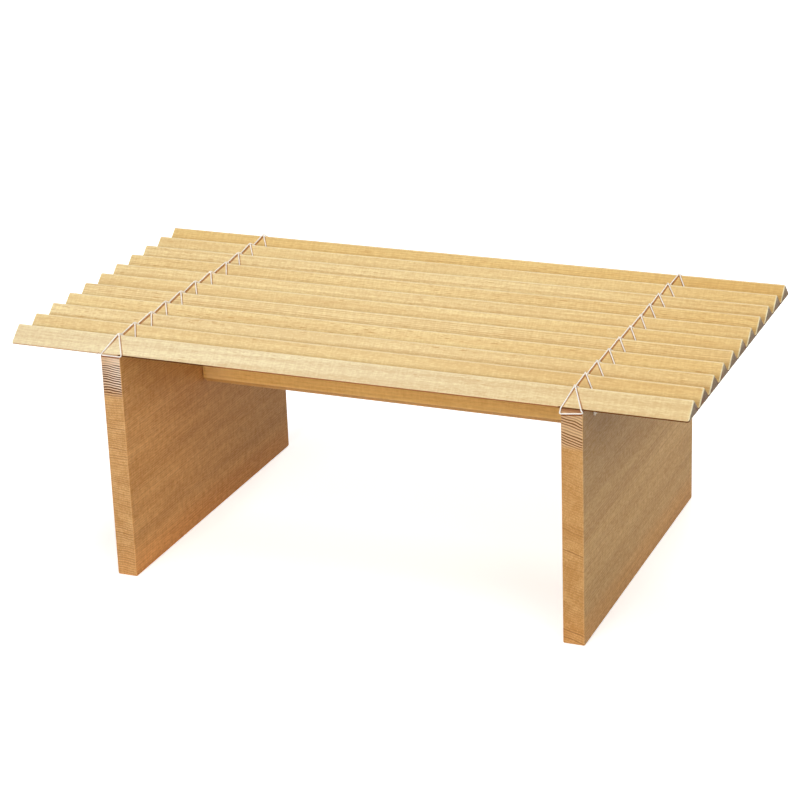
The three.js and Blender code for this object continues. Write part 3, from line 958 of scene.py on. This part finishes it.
class STAND_OT_slats(bpy.types.Operator):
    """Add the deck slats, each a planed triangle with its own tone and figure"""

    bl_idname = "stand.add_slats"
    bl_label = "Add slats"

    def execute(self, context):
        slats = context.scene.stand_slats
        thread = context.scene.stand_thread
        most_turn = 0.9
        most_offset = 900
        deep_share = 0.38
        first_seed = 100
        draw = np.random.default_rng(11)
        for number, (node, warmth) in enumerate(zip(slat_names, slat_warmth)):
            ring_turn = draw.uniform(-most_turn, most_turn)
            offset = tuple(draw.uniform(-most_offset, most_offset, 3))
            below = mixed(slats.front, slats.middle, min(warmth * 2, 1))
            pale = mixed(below, slats.back, max(warmth * 2 - 1, 0))
            deep = mixed(pale, slats.line, deep_share)

            def threads(tree, end_mask, number=number):
                masks = [shade_beside_strands(tree, number, side, thread) for side in (-1, 1)]
                return maths(tree, "MAXIMUM", *masks)

            material = wood_material(
                f"slat_wood_{number + 1:02d}",
                (1, 0, 0),
                (0, math.cos(ring_turn), math.sin(ring_turn)),
                offset,
                (pale, deep, slats.line, slats.worn_and_lit),
                {
                    "ring_spacing": draw.uniform(1.1, 1.8),
                    "ring_bend": 2.5,
                    "ring_strength": draw.uniform(0.16, 0.3),
                    "bold_rings": 0.3,
                    "streak_strength": 0.4,
                    "grit_strength": 1.0,
                    "fleck_strength": draw.uniform(0.3, 0.55),
                    "field": slat_field(number),
                    "threads": threads,
                    # End faces: darker end grain, with a painted cool shade
                    "end_tint": srgb(138, 131, 145),
                    "end_depth": 0.95,
                    "wear_and_highlight": 0.75,
                    "painted_shade": (0.0, 1.3 * MM),
                    "relief": 0.06 * MM,
                },
            )
            mesh = slat_mesh(node, slats, thread, first_seed + 2 * number)
            add_piece(node, mesh, material)
        return {"FINISHED"}


# Legs
def leg_cutters(side, legs, dowels):
    """Thread holes with a small countersink at both faces, and the bores for the dowels."""
    radius = legs.hole_radius
    middle = side * leg_spacing / 2
    half = leg_thickness / 2
    past = 2 * MM
    rim = legs.hole_rim
    profile = np.array([
        [middle - half - past, radius + rim + past],
        [middle - half + rim, radius],
        [middle + half - rim, radius],
        [middle + half + past, radius + rim + past],
    ])
    front = middle_of(slat_names[0]).y + slat_pitch / 2
    z = leg_height - legs.hole_drop
    places = front + slat_pitch * np.arange(len(slat_names) - 1)
    return [lathe_mesh("hole", profile, y, z) for y in places] + dowel_bores(side, dowels)


def dowel_bores(side, dowels):
    name = "left" if side < 0 else "right"
    bores = []
    for node in (n for n in dowel_names if n.startswith(name)):
        low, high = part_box(node)
        middle = middle_of(node)
        radius = (high.z - low.z) / 2 + dowels.clearance
        start = low.x - dowels.end_clearance
        end = high.x + dowels.end_clearance
        bores.append(lathe_mesh("bore", np.array([[start, radius], [end, radius]]), middle.y, middle.z))
    return bores


# How each leg's wood varies. Depths are millimetres below the deck: the top of the end grain is plain down
# to the first, the growth lines are bold down to the second and faint from the third. The glare share is the
# painted glare's share at the leg's outer and inner face, and it fades out between its two depths. The face
# tint is painted light on the long-grain faces, the faces get painted shade under the deck and from front to
# back, and the painted shade pair is the depth and reach of a painted contact shadow under the deck.
leg_woods = {
    -1: {
        "slant": 0.06,
        "depths": (5.0, 17.0, 27.0),
        "glare_colour": (0.99, 0.8, 0.63),
        "glare_share": (0.5, 1.0),
        "white_depths": (13.0, 27.0),
        "bold_line": (0.12, 0.038, 0.014),
        "boldness": 2.1,
        "faint_end": 0.42,
        "face_tint": (1.0, 0.93, 0.8),
        "front_to_back": (1.12, 0.8),
        "painted_deck_shadow": 0.85,
        "shade_depth": 50 * MM,
        "painted_shade": (0.75, 1.3 * MM),
        "end_tint": srgb(250, 250, 250),
    },
    1: {
        "slant": 0.3,
        "depths": (1.5, 18.0, 23.0),
        "glare_colour": (0.86, 0.60, 0.38),
        "glare_share": (0.7, 0.7),
        "white_depths": (18.0, 23.0),
        "bold_line": (0.20, 0.078, 0.022),
        "boldness": 1.2,
        "faint_end": 0.26,
        "face_tint": (0.9, 0.97, 0.93),
        "front_to_back": (1.0, 1.04),
        "painted_deck_shadow": 0.6,
        "shade_depth": 85 * MM,
        "painted_shade": (0.33, 2.8 * MM),
        "end_tint": srgb(238, 234, 220),
    },
}


def leg_field(side, wood):
    """Function that varies a leg's wood by height and by face."""
    plain, bold, faint = (leg_height - depth * MM for depth in wood["depths"])
    white_above, white_below = (leg_height - depth * MM for depth in wood["white_depths"])
    faint_face = 0.22
    half_depth = size_of("left_leg").y / 2
    plain_fade = 1.5 * MM
    plain_share = 0.2
    plain_white = 0.7
    on_faces = 0.3
    shaded_from = leg_height - wood["shade_depth"]
    foot_from = 4 * MM
    foot_to = 22 * MM
    foot_tint = (1.14, 1.02, 0.91)
    foot_on_end = 0.5
    white = (1.0, 1.0, 1.0)

    def field(tree, pale, deep, line, ring_strength, end_mask):
        place = object_place(tree)
        height = place["Z"]
        outwards = less(tree, place["X"], side * leg_spacing / 2)
        to_outer = maths(tree, "DIVIDE", outwards, side * leg_thickness / 2)

        # Growth lines: bold near the top of the end grain, faint below and on the faces
        near = ramp(tree, height, faint, bold)
        below_top = ramp(tree, height, plain - plain_fade, plain, 1.0, plain_share)
        on_end = ramp(tree, end_mask, 0.0, 1.0, on_faces, wood["boldness"])
        faintest = ramp(tree, end_mask, 0.0, 1.0, faint_face, wood["faint_end"])
        strength = maths(tree, "MAXIMUM", times(tree, near, on_end, below_top), faintest)
        strength = times(tree, strength, ring_strength)
        on_top_end = times(tree, near, end_mask)
        line = blend(tree, on_top_end, line, rgba(wood["bold_line"]))

        # Early wood: a painted glare near the top of the end grain, painted light and shade on the faces,
        # and redder and brighter at the foot, a painted warm light
        at_outer, at_inner = wood["glare_share"]
        glare_share = times(
            tree,
            ramp(tree, to_outer, -1.0, 1.0, at_inner, at_outer),
            ramp(tree, below_top, plain_share, 1.0, plain_white, 1.0),
            ramp(tree, height, white_below, white_above),
        )
        glared = times(tree, on_top_end, glare_share)
        # Painted shade: the deck's shadow on the faces, and a painted gradient from front to back
        painted_deck_shadow = ramp(tree, height, shaded_from, leg_height, 1.0, wood["painted_deck_shadow"])
        to_back = ramp(tree, place["Y"], -half_depth, half_depth, *wood["front_to_back"])
        # Painted light: the face tint colours the long-grain faces, and the end grain stays as it is
        inputs = {0: wood["face_tint"], 1: times(tree, painted_deck_shadow, to_back)}
        face = add_node(tree, "ShaderNodeVectorMath", inputs, operation="MULTIPLY")
        tint = blend(tree, end_mask, face.outputs["Vector"], rgba(white))
        # Painted warm light near the floor, half as strong on the end grain
        foot = ramp(tree, height, foot_from, foot_to, 1.0, 0.0)
        foot = times(tree, foot, ramp(tree, end_mask, 0.0, 1.0, 1.0, foot_on_end))
        tint = blend(tree, foot, tint, rgba(foot_tint), "MULTIPLY")
        pale, deep = (blend(tree, 1.0, colour, tint, "MULTIPLY") for colour in (pale, deep))
        pale, deep = (blend(tree, glared, colour, rgba(wood["glare_colour"])) for colour in (pale, deep))
        return pale, deep, line, strength

    return field


class STAND_OT_legs(bpy.types.Operator):
    """Add the two plank legs with their thread holes and dowel bores"""

    bl_idname = "stand.add_legs"
    bl_label = "Add legs"

    def execute(self, context):
        legs = context.scene.stand_legs
        thread = context.scene.stand_thread
        for side, node in ((-1, "left_leg"), (1, "right_leg")):
            wood = leg_woods[side]

            def threads(tree, end_mask, side=side):
                return times(tree, shade_under_wrap(tree, side, thread), end_mask)

            material = wood_material(
                f"{node}_wood",
                (0, 1, 0),
                (wood["slant"], 0, 1),
                (side * 320.0, side * 57.0, 210.0),
                (legs.pale, legs.deep, legs.line, legs.worn_and_lit),
                {
                    "ring_spacing": 1.3,
                    "ring_bend": 4.0,
                    "ring_strength": 1.0,
                    "bold_rings": 0.6,
                    "streak_strength": 0.35,
                    "grit_strength": 0.9,
                    "fleck_strength": 0.1,
                    "field": leg_field(side, wood),
                    "threads": threads,
                    "end_tint": wood["end_tint"],
                    "end_depth": 0.8,
                    "wear_and_highlight": 0.5,
                    "painted_shade": wood["painted_shade"],
                    "relief": 0.06 * MM,
                },
            )
            mesh = block_mesh(node, legs.corner_radius, legs.arris)
            piece = add_piece(node, mesh, material)
            cut_away(piece, leg_cutters(side, legs, context.scene.stand_dowels))
            store_block_edges(piece.data, *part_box(node))
        return {"FINISHED"}


# Rail
def relief_box(side, valley_y, legs, thread):
    """Room for the thread at the rail's top corner, a plain box with its faces outwards."""
    room = 0.4 * MM
    reach = thread.diameter + room
    depth = legs.hole_drop + legs.hole_radius + thread.diameter / 2
    face = side * (leg_spacing - leg_thickness) / 2
    y = valley_y + reach * np.array([-1, 1, 1, -1])
    z = leg_height + depth * np.array([-1, -1, 1, 1])
    section = np.broadcast_to(np.stack([y, z], axis=-1), (2, 4, 2))
    return carried_mesh("relief", np.array([face - reach, face + reach]), section)


def store_lower_chamfer_shade(mesh, bottom, chamfer):
    """Painted shade on the lower chamfers, darker than the faces: a low share of the attribute for
    undersides.
    """
    chamfer_shade_share = 0.17
    shaded_part = 0.9
    above = mesh_points(mesh)[:, 2] - bottom
    store_points(mesh, "under", chamfer_shade_share * ((above > 0) & (above < chamfer * shaded_part)))


class STAND_OT_rail(bpy.types.Operator):
    """Add the rail between the legs, with its dowel bores and the reliefs for the thread"""

    bl_idname = "stand.add_rail"
    bl_label = "Add rail"

    def execute(self, context):
        rail = context.scene.stand_rail
        thread = context.scene.stand_thread
        low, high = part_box("rail")
        material = wood_material(
            "rail_wood",
            (1, 0, 0),
            (0, 0.25, 1),
            (130.0, 44.0, -70.0),
            (rail.pale, rail.deep, rail.line, rail.worn_and_lit),
            {
                "ring_spacing": 2.1,
                "ring_bend": 3.0,
                "ring_strength": 0.12,
                "bold_rings": 0.2,
                "streak_strength": 0.4,
                "grit_strength": 0.7,
                "fleck_strength": 0.2,
                "end_tint": srgb(230, 210, 190),
                "end_depth": 0.8,
                "wear_and_highlight": 0.6,
                # Painted contact shadow where the rail meets the deck
                "painted_shade": (0.6, 1.3 * MM),
                "relief": 0.05 * MM,
            },
        )
        mesh = block_mesh("rail", rail.chamfer, rail.end_radius, rail.flatness)
        piece = add_piece("rail", mesh, material)
        cutters = []
        for side in (-1, 1):
            cutters += dowel_bores(side, context.scene.stand_dowels)
            for valley_y in (-slat_pitch / 2, slat_pitch / 2):
                cutters.append(relief_box(side, valley_y, context.scene.stand_legs, thread))
        cut_away(piece, cutters)
        store_block_edges(piece.data, low, high, rail.chamfer)
        store_lower_chamfer_shade(piece.data, low.z, rail.chamfer)
        return {"FINISHED"}


class STAND_OT_dowels(bpy.types.Operator):
    """Finish the dowels of the frame, which sit inside the rail's joints"""

    bl_idname = "stand.finish_dowels"
    bl_label = "Finish dowels"

    def execute(self, context):
        dowels = context.scene.stand_dowels
        material = wood_material(
            "dowel_wood",
            (1, 0, 0),
            (0, 0, 1),
            (77.0, 5.0, 31.0),
            (dowels.pale, dowels.deep, mixed(dowels.deep, (0, 0, 0), 0.35), dowels.pale),
            {
                "ring_spacing": 1.2,
                "ring_bend": 1.0,
                "ring_strength": 0.3,
                "bold_rings": 0.0,
                "streak_strength": 0.4,
                "grit_strength": 0.6,
                "fleck_strength": 0.2,
                "end_tint": srgb(225, 205, 185),
                "end_depth": 0.8,
                "wear_and_highlight": 0.0,
                "painted_shade": (0.0, 1.3 * MM),
                "relief": 0.05 * MM,
            },
        )
        for node in dowel_names:
            set_material(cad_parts[node].data, material)
        return {"FINISHED"}


# Lashings
def lashing_bends(side, slats, legs, thread):
    """Corners of a thread's route with the bend radius at each, X counted outwards from the leg's middle.

    From a knot on the outer face the thread runs to the back over every slat but the first, round
    the leg's back edge, back to the front over every slat, round the front edge and over the first
    slat once more, and ends at the knot. At each gap it goes down the leg's face and through a hole.
    """
    crossings = np.array(strand_crossings[side]) * MM
    wrap_inner, wrap_outer = np.array(edge_wraps[side]) * MM
    crossing_lift = 0.66
    edge_drop = 0.1 * MM
    knot_radius = 0.9 * MM
    offset = thread.diameter / 2 + thread.clearance
    spacing = thread.diameter + thread.strand_gap
    half_spacing = spacing / 2
    outer = strand_reach(thread)
    inner = -outer
    bend = thread.bend_radius
    ridge_bend = slats.ridge_radius + offset
    rise = slat_triangle(slats)[1]
    on_slope = leg_height + rise + offset / math.cos(slats.slope)
    low_ridge = on_slope - thread.bite
    high_ridge = low_ridge + crossing_lift * spacing
    foot = on_slope - (slat_pitch / 2 - half_spacing) * math.tan(slats.slope)
    hole = leg_height - legs.hole_drop
    last = len(slat_names) - 1
    ridge_y = [middle_of(node).y for node in slat_names]
    front_foot = [y - slat_pitch / 2 + half_spacing for y in ridge_y]
    back_foot = [y + slat_pitch / 2 - half_spacing for y in ridge_y]
    knot_y = ridge_y[1] - slat_pitch / 2 - spacing
    knot_z = hole - thread.knot_drop
    knot = (outer + knot_radius / 2, knot_y, knot_z)

    # Where a strand turns round the free lower edge of the first or last slat, on its way to the leg
    pull_inner, pull_outer = edge_pulls[side]
    edge_out = offset * math.sin(slats.slope)
    edge_z = leg_height + offset * math.cos(slats.slope) - edge_drop
    front_edge = ridge_y[0] - slat_pitch / 2 - edge_out
    back_edge = ridge_y[last] + slat_pitch / 2 + edge_out

    rows = [(*knot, 0)]
    rows.append((outer, knot_y + half_spacing, hole + half_spacing, bend))
    rows.append((inner, front_foot[1], hole + half_spacing, bend))

    # Over the slats towards the back, lying on them
    for slat in range(1, last + 1):
        rows.append((inner, front_foot[slat], foot, bend))
        rows.append((crossings[slat], ridge_y[slat], low_ridge, ridge_bend))
        if slat < last:
            rows.append((outer, back_foot[slat], foot, bend))
            rows.append((outer, back_foot[slat], hole + half_spacing, bend))
            rows.append((inner, front_foot[slat + 1], hole + half_spacing, bend))

    # Round the leg's back edge
    rows.append((outer * pull_outer, back_edge, edge_z, bend))
    rows.append((outer, back_foot[last], leg_height - wrap_outer, bend))
    rows.append((inner, back_foot[last], leg_height - wrap_inner, bend))
    rows.append((inner * pull_inner, back_edge, edge_z, bend))

    # Over the slats towards the front, crossing above the first run at each ridge
    for slat in range(last, -1, -1):
        rows.append((crossings[slat], ridge_y[slat], high_ridge, ridge_bend))
        if slat > 0:
            rows.append((outer, front_foot[slat], foot, bend))
            rows.append((outer, front_foot[slat], hole - half_spacing, bend))
            rows.append((inner, back_foot[slat - 1], hole - half_spacing, bend))
            rows.append((inner, back_foot[slat - 1], foot, bend))

    # Round the leg's front edge and once more over the first slat
    rows.append((outer * pull_outer, front_edge, edge_z, bend))
    rows.append((outer, front_foot[0], leg_height - wrap_outer, bend))
    rows.append((inner, front_foot[0], leg_height - wrap_inner, bend))
    rows.append((inner * pull_inner, front_edge, edge_z, bend))
    rows.append((crossings[0], ridge_y[0], low_ridge, ridge_bend))
    rows.append((outer, back_foot[0], foot, bend))

    # Down beside the first hole to the knot
    rows.append((outer, back_foot[0], leg_height - bend, bend))
    rows.append((outer, knot_y - half_spacing, hole + legs.hole_radius, bend))
    rows.append((*knot, 0))
    return np.array(rows)


def bent_route(bends):
    """Centre line through the bends: straight runs joined by arcs that touch both runs.

    An arc's centre lies on the inside of its bend, the radius over the cosine of half the turn away.
    With the spoke to the arc's start and the direction of arrival as axes, the arc is a circle.
    """
    arc_steps = 9
    corners = bends[:, :3]
    radius = bends[1:-1, 3:]
    runs = unit_rows(np.diff(corners, axis=0))
    before = runs[:-1]
    after = runs[1:]
    turn = np.arccos(np.clip((before * after).sum(axis=1), -1, 1))[:, None]
    centres = corners[1:-1] + unit_rows(after - before) * radius / np.cos(turn / 2)
    spokes = corners[1:-1] - before * radius * np.tan(turn / 2) - centres
    angles = (turn * np.linspace(0, 1, arc_steps))[..., None]
    arcs = centres[:, None] + spokes[:, None] * np.cos(angles)
    arcs = arcs + (before * radius)[:, None] * np.sin(angles)
    return np.concatenate([corners[:1], arcs.reshape(-1, 3), corners[-1:]])


def evenly_spaced(route, step):
    """The same route with points a step apart, and the distance of each along it."""
    travelled = np.concatenate([[0], np.cumsum(np.linalg.norm(np.diff(route, axis=0), axis=1))])
    along = np.linspace(0, travelled[-1], int(travelled[-1] / step) + 1)
    return np.stack([np.interp(along, travelled, route[:, axis]) for axis in range(3)], axis=-1), along


def plied_thread(name, route, thread, reference, thickness=1.0):
    """Tube of three twisted plies along a route.

    Round the route, at angle a and distance s along it, the radius is the thread's radius times
    0.9 + 0.1 cos 3 (a - 2 pi s / twist). The angle is counted from the direction that is square
    to the route and to the reference. Both ends are drawn in over half a diameter.
    """
    step = 0.2 * MM
    sides = 15
    plies = 3
    relief = 0.1
    blunt_end = 0.15
    points, along = evenly_spaced(route, step)
    tangents = unit_rows(np.gradient(points, axis=0))
    across = unit_rows(np.cross(reference, tangents))
    up = np.cross(tangents, across)
    angles = 2 * np.pi * np.arange(sides) / sides
    lay = np.cos(plies * (angles[None, :] - 2 * np.pi * along[:, None] / thread.twist))
    to_end = np.minimum(along, along[-1] - along) / (thread.diameter / 2)
    taper = np.sqrt(np.clip(to_end * (2 - to_end), blunt_end, 1)) * (to_end < 1) + (to_end >= 1)
    radius = thread.diameter / 2 * thickness * (1 - relief + relief * lay) * taper[:, None]
    spokes = across[:, None] * np.cos(angles)[None, :, None] + up[:, None] * np.sin(angles)[None, :, None]
    mesh = lofted_mesh(name, points[:, None] + spokes * radius[..., None])
    circle = np.stack([np.cos(angles), np.sin(angles)], axis=-1) * thread.diameter / 2 / MM
    yarn = np.concatenate([
        np.broadcast_to(circle[None], (len(points), sides, 2)),
        np.broadcast_to(along[:, None, None] / MM, (len(points), sides, 1)),
    ], axis=2)
    store_points(mesh, "lay", lay)
    store_points(mesh, "low", -spokes[..., 2])
    store_points(mesh, "yarn", yarn, "FLOAT_VECTOR")
    return mesh


def knot_routes(centre, side):
    """A flat overhand knot on the leg's outer face, and its two cut tails.

    The knot follows a trefoil: sin t + 2 sin 2t, cos t - 2 cos 2t, and minus sin 3t across the face.
    """
    size = 0.26 * MM
    thickness = 0.3 * MM
    samples = 80
    overlap = 0.02
    tail_samples = 24
    tail_leans = (-2.2, 2.4)
    tail_reaches = (0.5 * MM, 0.42 * MM)
    tail_out = 0.2 * MM
    sag_out = 0.5 * MM
    sag_share = 0.5
    t = np.linspace(overlap, 2 * np.pi - overlap, samples)
    trefoil = np.stack([
        -np.sin(3 * t) * thickness,
        (np.sin(t) + 2 * np.sin(2 * t)) * size,
        (np.cos(t) - 2 * np.cos(2 * t)) * size,
    ], axis=-1)
    share = np.linspace(0, 1, tail_samples)[:, None]
    tails = []
    for lean, reach in zip(tail_leans, tail_reaches):
        end = np.array([side * tail_out, lean * reach, -reach])
        sag = np.array([side * sag_out, lean * reach * sag_share, 0]) * np.sin(np.pi * share)
        tails.append(centre + end * share + sag)
    return [centre + trefoil] + tails


class STAND_OT_lashings(bpy.types.Operator):
    """Add the two thread lashings, each one twisted thread with its knot"""

    bl_idname = "stand.add_lashings"
    bl_label = "Add lashings"

    def execute(self, context):
        scene = context.scene
        thread = scene.stand_thread
        material = thread_material(thread)
        front_to_back = np.array([0.0, 1.0, 0.0])
        nearly_outwards = np.array([1.0, 0.01, 0.0])

        # Thickness of the knot and of its two tails, as shares of the thread's
        thicknesses = (0.62, 0.75, 0.75)
        for side, node in ((-1, "left_lashing"), (1, "right_lashing")):
            bends = lashing_bends(side, scene.stand_slats, scene.stand_legs, thread)
            bends[:, 0] = side * (leg_spacing / 2 + bends[:, 0])
            knot = bends[0, :3]
            meshes = [plied_thread("thread", bent_route(bends), thread, front_to_back)]
            for route, thickness in zip(knot_routes(knot, side), thicknesses):
                meshes.append(plied_thread("knot", route, thread, nearly_outwards, thickness))
            add_piece(node, joined_mesh(f"{node}_fine", meshes), material)
        return {"FINISHED"}


# Stage
# Lamps: azimuth off the front and elevation in degrees, distance and size in metres, watts, and colour
lamps = {
    "front_box": (-4, 19.5, 3.0, 0.9, 37.0, (1.0, 0.99, 0.97)),
    "top_box": (-20, 74, 3.0, 1.2, 23.0, (1.0, 0.99, 0.97)),
    "side_box": (52, 34, 3.0, 1.6, 20.0, (1.0, 0.995, 0.965)),
    "back_box": (180, 42, 3.0, 1.2, 34.0, (1.0, 0.99, 0.97)),
}
surroundings = 0.22


def direction(azimuth, elevation):
    """Unit vector at an azimuth from the front towards the right, and an elevation above the floor."""
    level = math.cos(elevation)
    return Vector((math.sin(azimuth) * level, -math.cos(azimuth) * level, math.sin(elevation)))


def add_lamp(name, azimuth, elevation, distance, size, power, colour, aim):
    """Square lamp that looks at a point."""
    from_aim = direction(math.radians(azimuth), math.radians(elevation))
    data = bpy.data.lights.new(name, "AREA")
    data.size = size
    data.energy = power
    data.color = colour
    lamp = bpy.data.objects.new(name, data)
    lamp.location = aim + from_aim * distance
    lamp.rotation_euler = from_aim.to_track_quat("Z", "Y").to_euler()
    bpy.context.collection.objects.link(lamp)
    return lamp


def seen_directly(tree):
    """1 for what the camera sees, also in a reflection or through glass, and 0 for all other light."""
    rays = add_node(tree, "ShaderNodeLightPath").outputs
    seen = maths(tree, "ADD", rays["Is Camera Ray"], rays["Is Glossy Ray"])
    return maths(tree, "ADD", seen, rays["Is Transmission Ray"], clamp=True)


def floor_material(colour):
    """Matt floor that shows white where the light reaches it, and keeps the shadows near the stand."""
    near = 0.3
    far = 0.9
    near_lift = 0.56
    roughness = 0.9
    material, tree, shader = new_material("floor_paper")
    source = add_node(tree, "ShaderNodeTexCoord").outputs["Object"]
    from_middle = add_node(tree, "ShaderNodeVectorMath", {0: source}, operation="LENGTH").outputs["Value"]
    lift = ramp(tree, from_middle, near, far, near_lift, 1.0)
    set_inputs(tree, shader, {
        "Emission Strength": times(tree, seen_directly(tree), lift),
        "Emission Color": (1, 1, 1, 1),
        "Base Color": rgba(colour),
        "Roughness": roughness,
        "Specular IOR Level": 0.0,
    })
    return material


def light_world(strength):
    """Soft white surroundings that the camera sees as plain white."""
    world = bpy.data.worlds.new("studio")
    bpy.context.scene.world = world
    world.use_nodes = True
    tree = world.node_tree
    level = times_plus(tree, seen_directly(tree), 1.0 - strength, strength)
    set_inputs(tree, tree.nodes["Background"], {"Color": (1, 1, 1, 1), "Strength": level})


class STAND_OT_stage(bpy.types.Operator):
    """Add the floor, the soft studio light and the camera at the photograph's angle"""

    bl_idname = "stand.add_stage"
    bl_label = "Add stage"

    def execute(self, context):
        scene = context.scene
        view = scene.stand_view
        aim = Vector(view.aim)

        floor_half = 4.0
        corners = [(x * floor_half, y * floor_half, 0) for x, y in ((-1, -1), (1, -1), (1, 1), (-1, 1))]
        mesh = bpy.data.meshes.new("floor")
        mesh.from_pydata(corners, [], [(0, 1, 2, 3)])
        mesh.materials.append(floor_material(view.floor))
        floor = bpy.data.objects.new("floor", mesh)
        context.collection.objects.link(floor)

        light_world(surroundings)
        for name, values in lamps.items():
            add_lamp(name, *values, aim)

        back = direction(view.azimuth, view.elevation)
        level = Vector((math.cos(view.azimuth), math.sin(view.azimuth), 0))
        upright = back.cross(level)
        right = level * math.cos(view.roll) + upright * math.sin(view.roll)
        up = back.cross(right)
        data = bpy.data.cameras.new("camera")
        data.sensor_width = 36
        data.sensor_fit = "HORIZONTAL"
        data.lens = view.lens
        data.shift_y = view.shift
        camera = bpy.data.objects.new("camera", data)
        turned = Matrix((right, up, back)).transposed().to_4x4()
        camera.matrix_world = Matrix.Translation(aim + back * view.distance) @ turned
        context.collection.objects.link(camera)
        scene.camera = camera
        scene.view_settings.view_transform = "Standard"
        return {"FINISHED"}


class STAND_PT_panel(bpy.types.Panel):
    bl_label = "Offering stand"
    bl_idname = "STAND_PT_panel"
    bl_space_type = "VIEW_3D"
    bl_region_type = "UI"
    bl_category = "Stand"

    def draw(self, context):
        for name, (heading, _) in setting_groups.items():
            settings = getattr(context.scene, name)
            box = self.layout.box()
            box.label(text=heading)
            for prop in settings.bl_rna.properties:
                if prop.identifier not in ("rna_type", "name"):
                    box.prop(settings, prop.identifier)
        for operator in operators:
            self.layout.operator(operator.bl_idname)


# Name of each group of settings on the scene, with its heading in the panel and its class
setting_groups = {
    "stand_slats": ("Slats", STAND_PG_slats),
    "stand_legs": ("Legs", STAND_PG_legs),
    "stand_rail": ("Rail", STAND_PG_rail),
    "stand_dowels": ("Dowels", STAND_PG_dowels),
    "stand_thread": ("Thread", STAND_PG_thread),
    "stand_view": ("View", STAND_PG_view),
}

operators = (
    STAND_OT_slats,
    STAND_OT_legs,
    STAND_OT_rail,
    STAND_OT_dowels,
    STAND_OT_lashings,
    STAND_OT_stage,
)

classes = (*(made for _, made in setting_groups.values()), *operators, STAND_PT_panel)


def register():
    for made in classes:
        bpy.utils.register_class(made)
    for name, (_, made) in setting_groups.items():
        setattr(bpy.types.Scene, name, PointerProperty(type=made))


def unregister():
    for name in setting_groups:
        delattr(bpy.types.Scene, name)
    for made in reversed(classes):
        bpy.utils.unregister_class(made)


def main():
    register()
    make_wood_figure()
    make_rubbed_and_highlit_edge()
    make_end_mask()
    make_end_grain()
    make_thread_shade()
    bpy.ops.stand.add_slats()
    bpy.ops.stand.add_legs()
    bpy.ops.stand.add_rail()
    bpy.ops.stand.finish_dowels()
    bpy.ops.stand.add_lashings()
    bpy.ops.stand.add_stage()


if __name__ == "__main__":
    main()
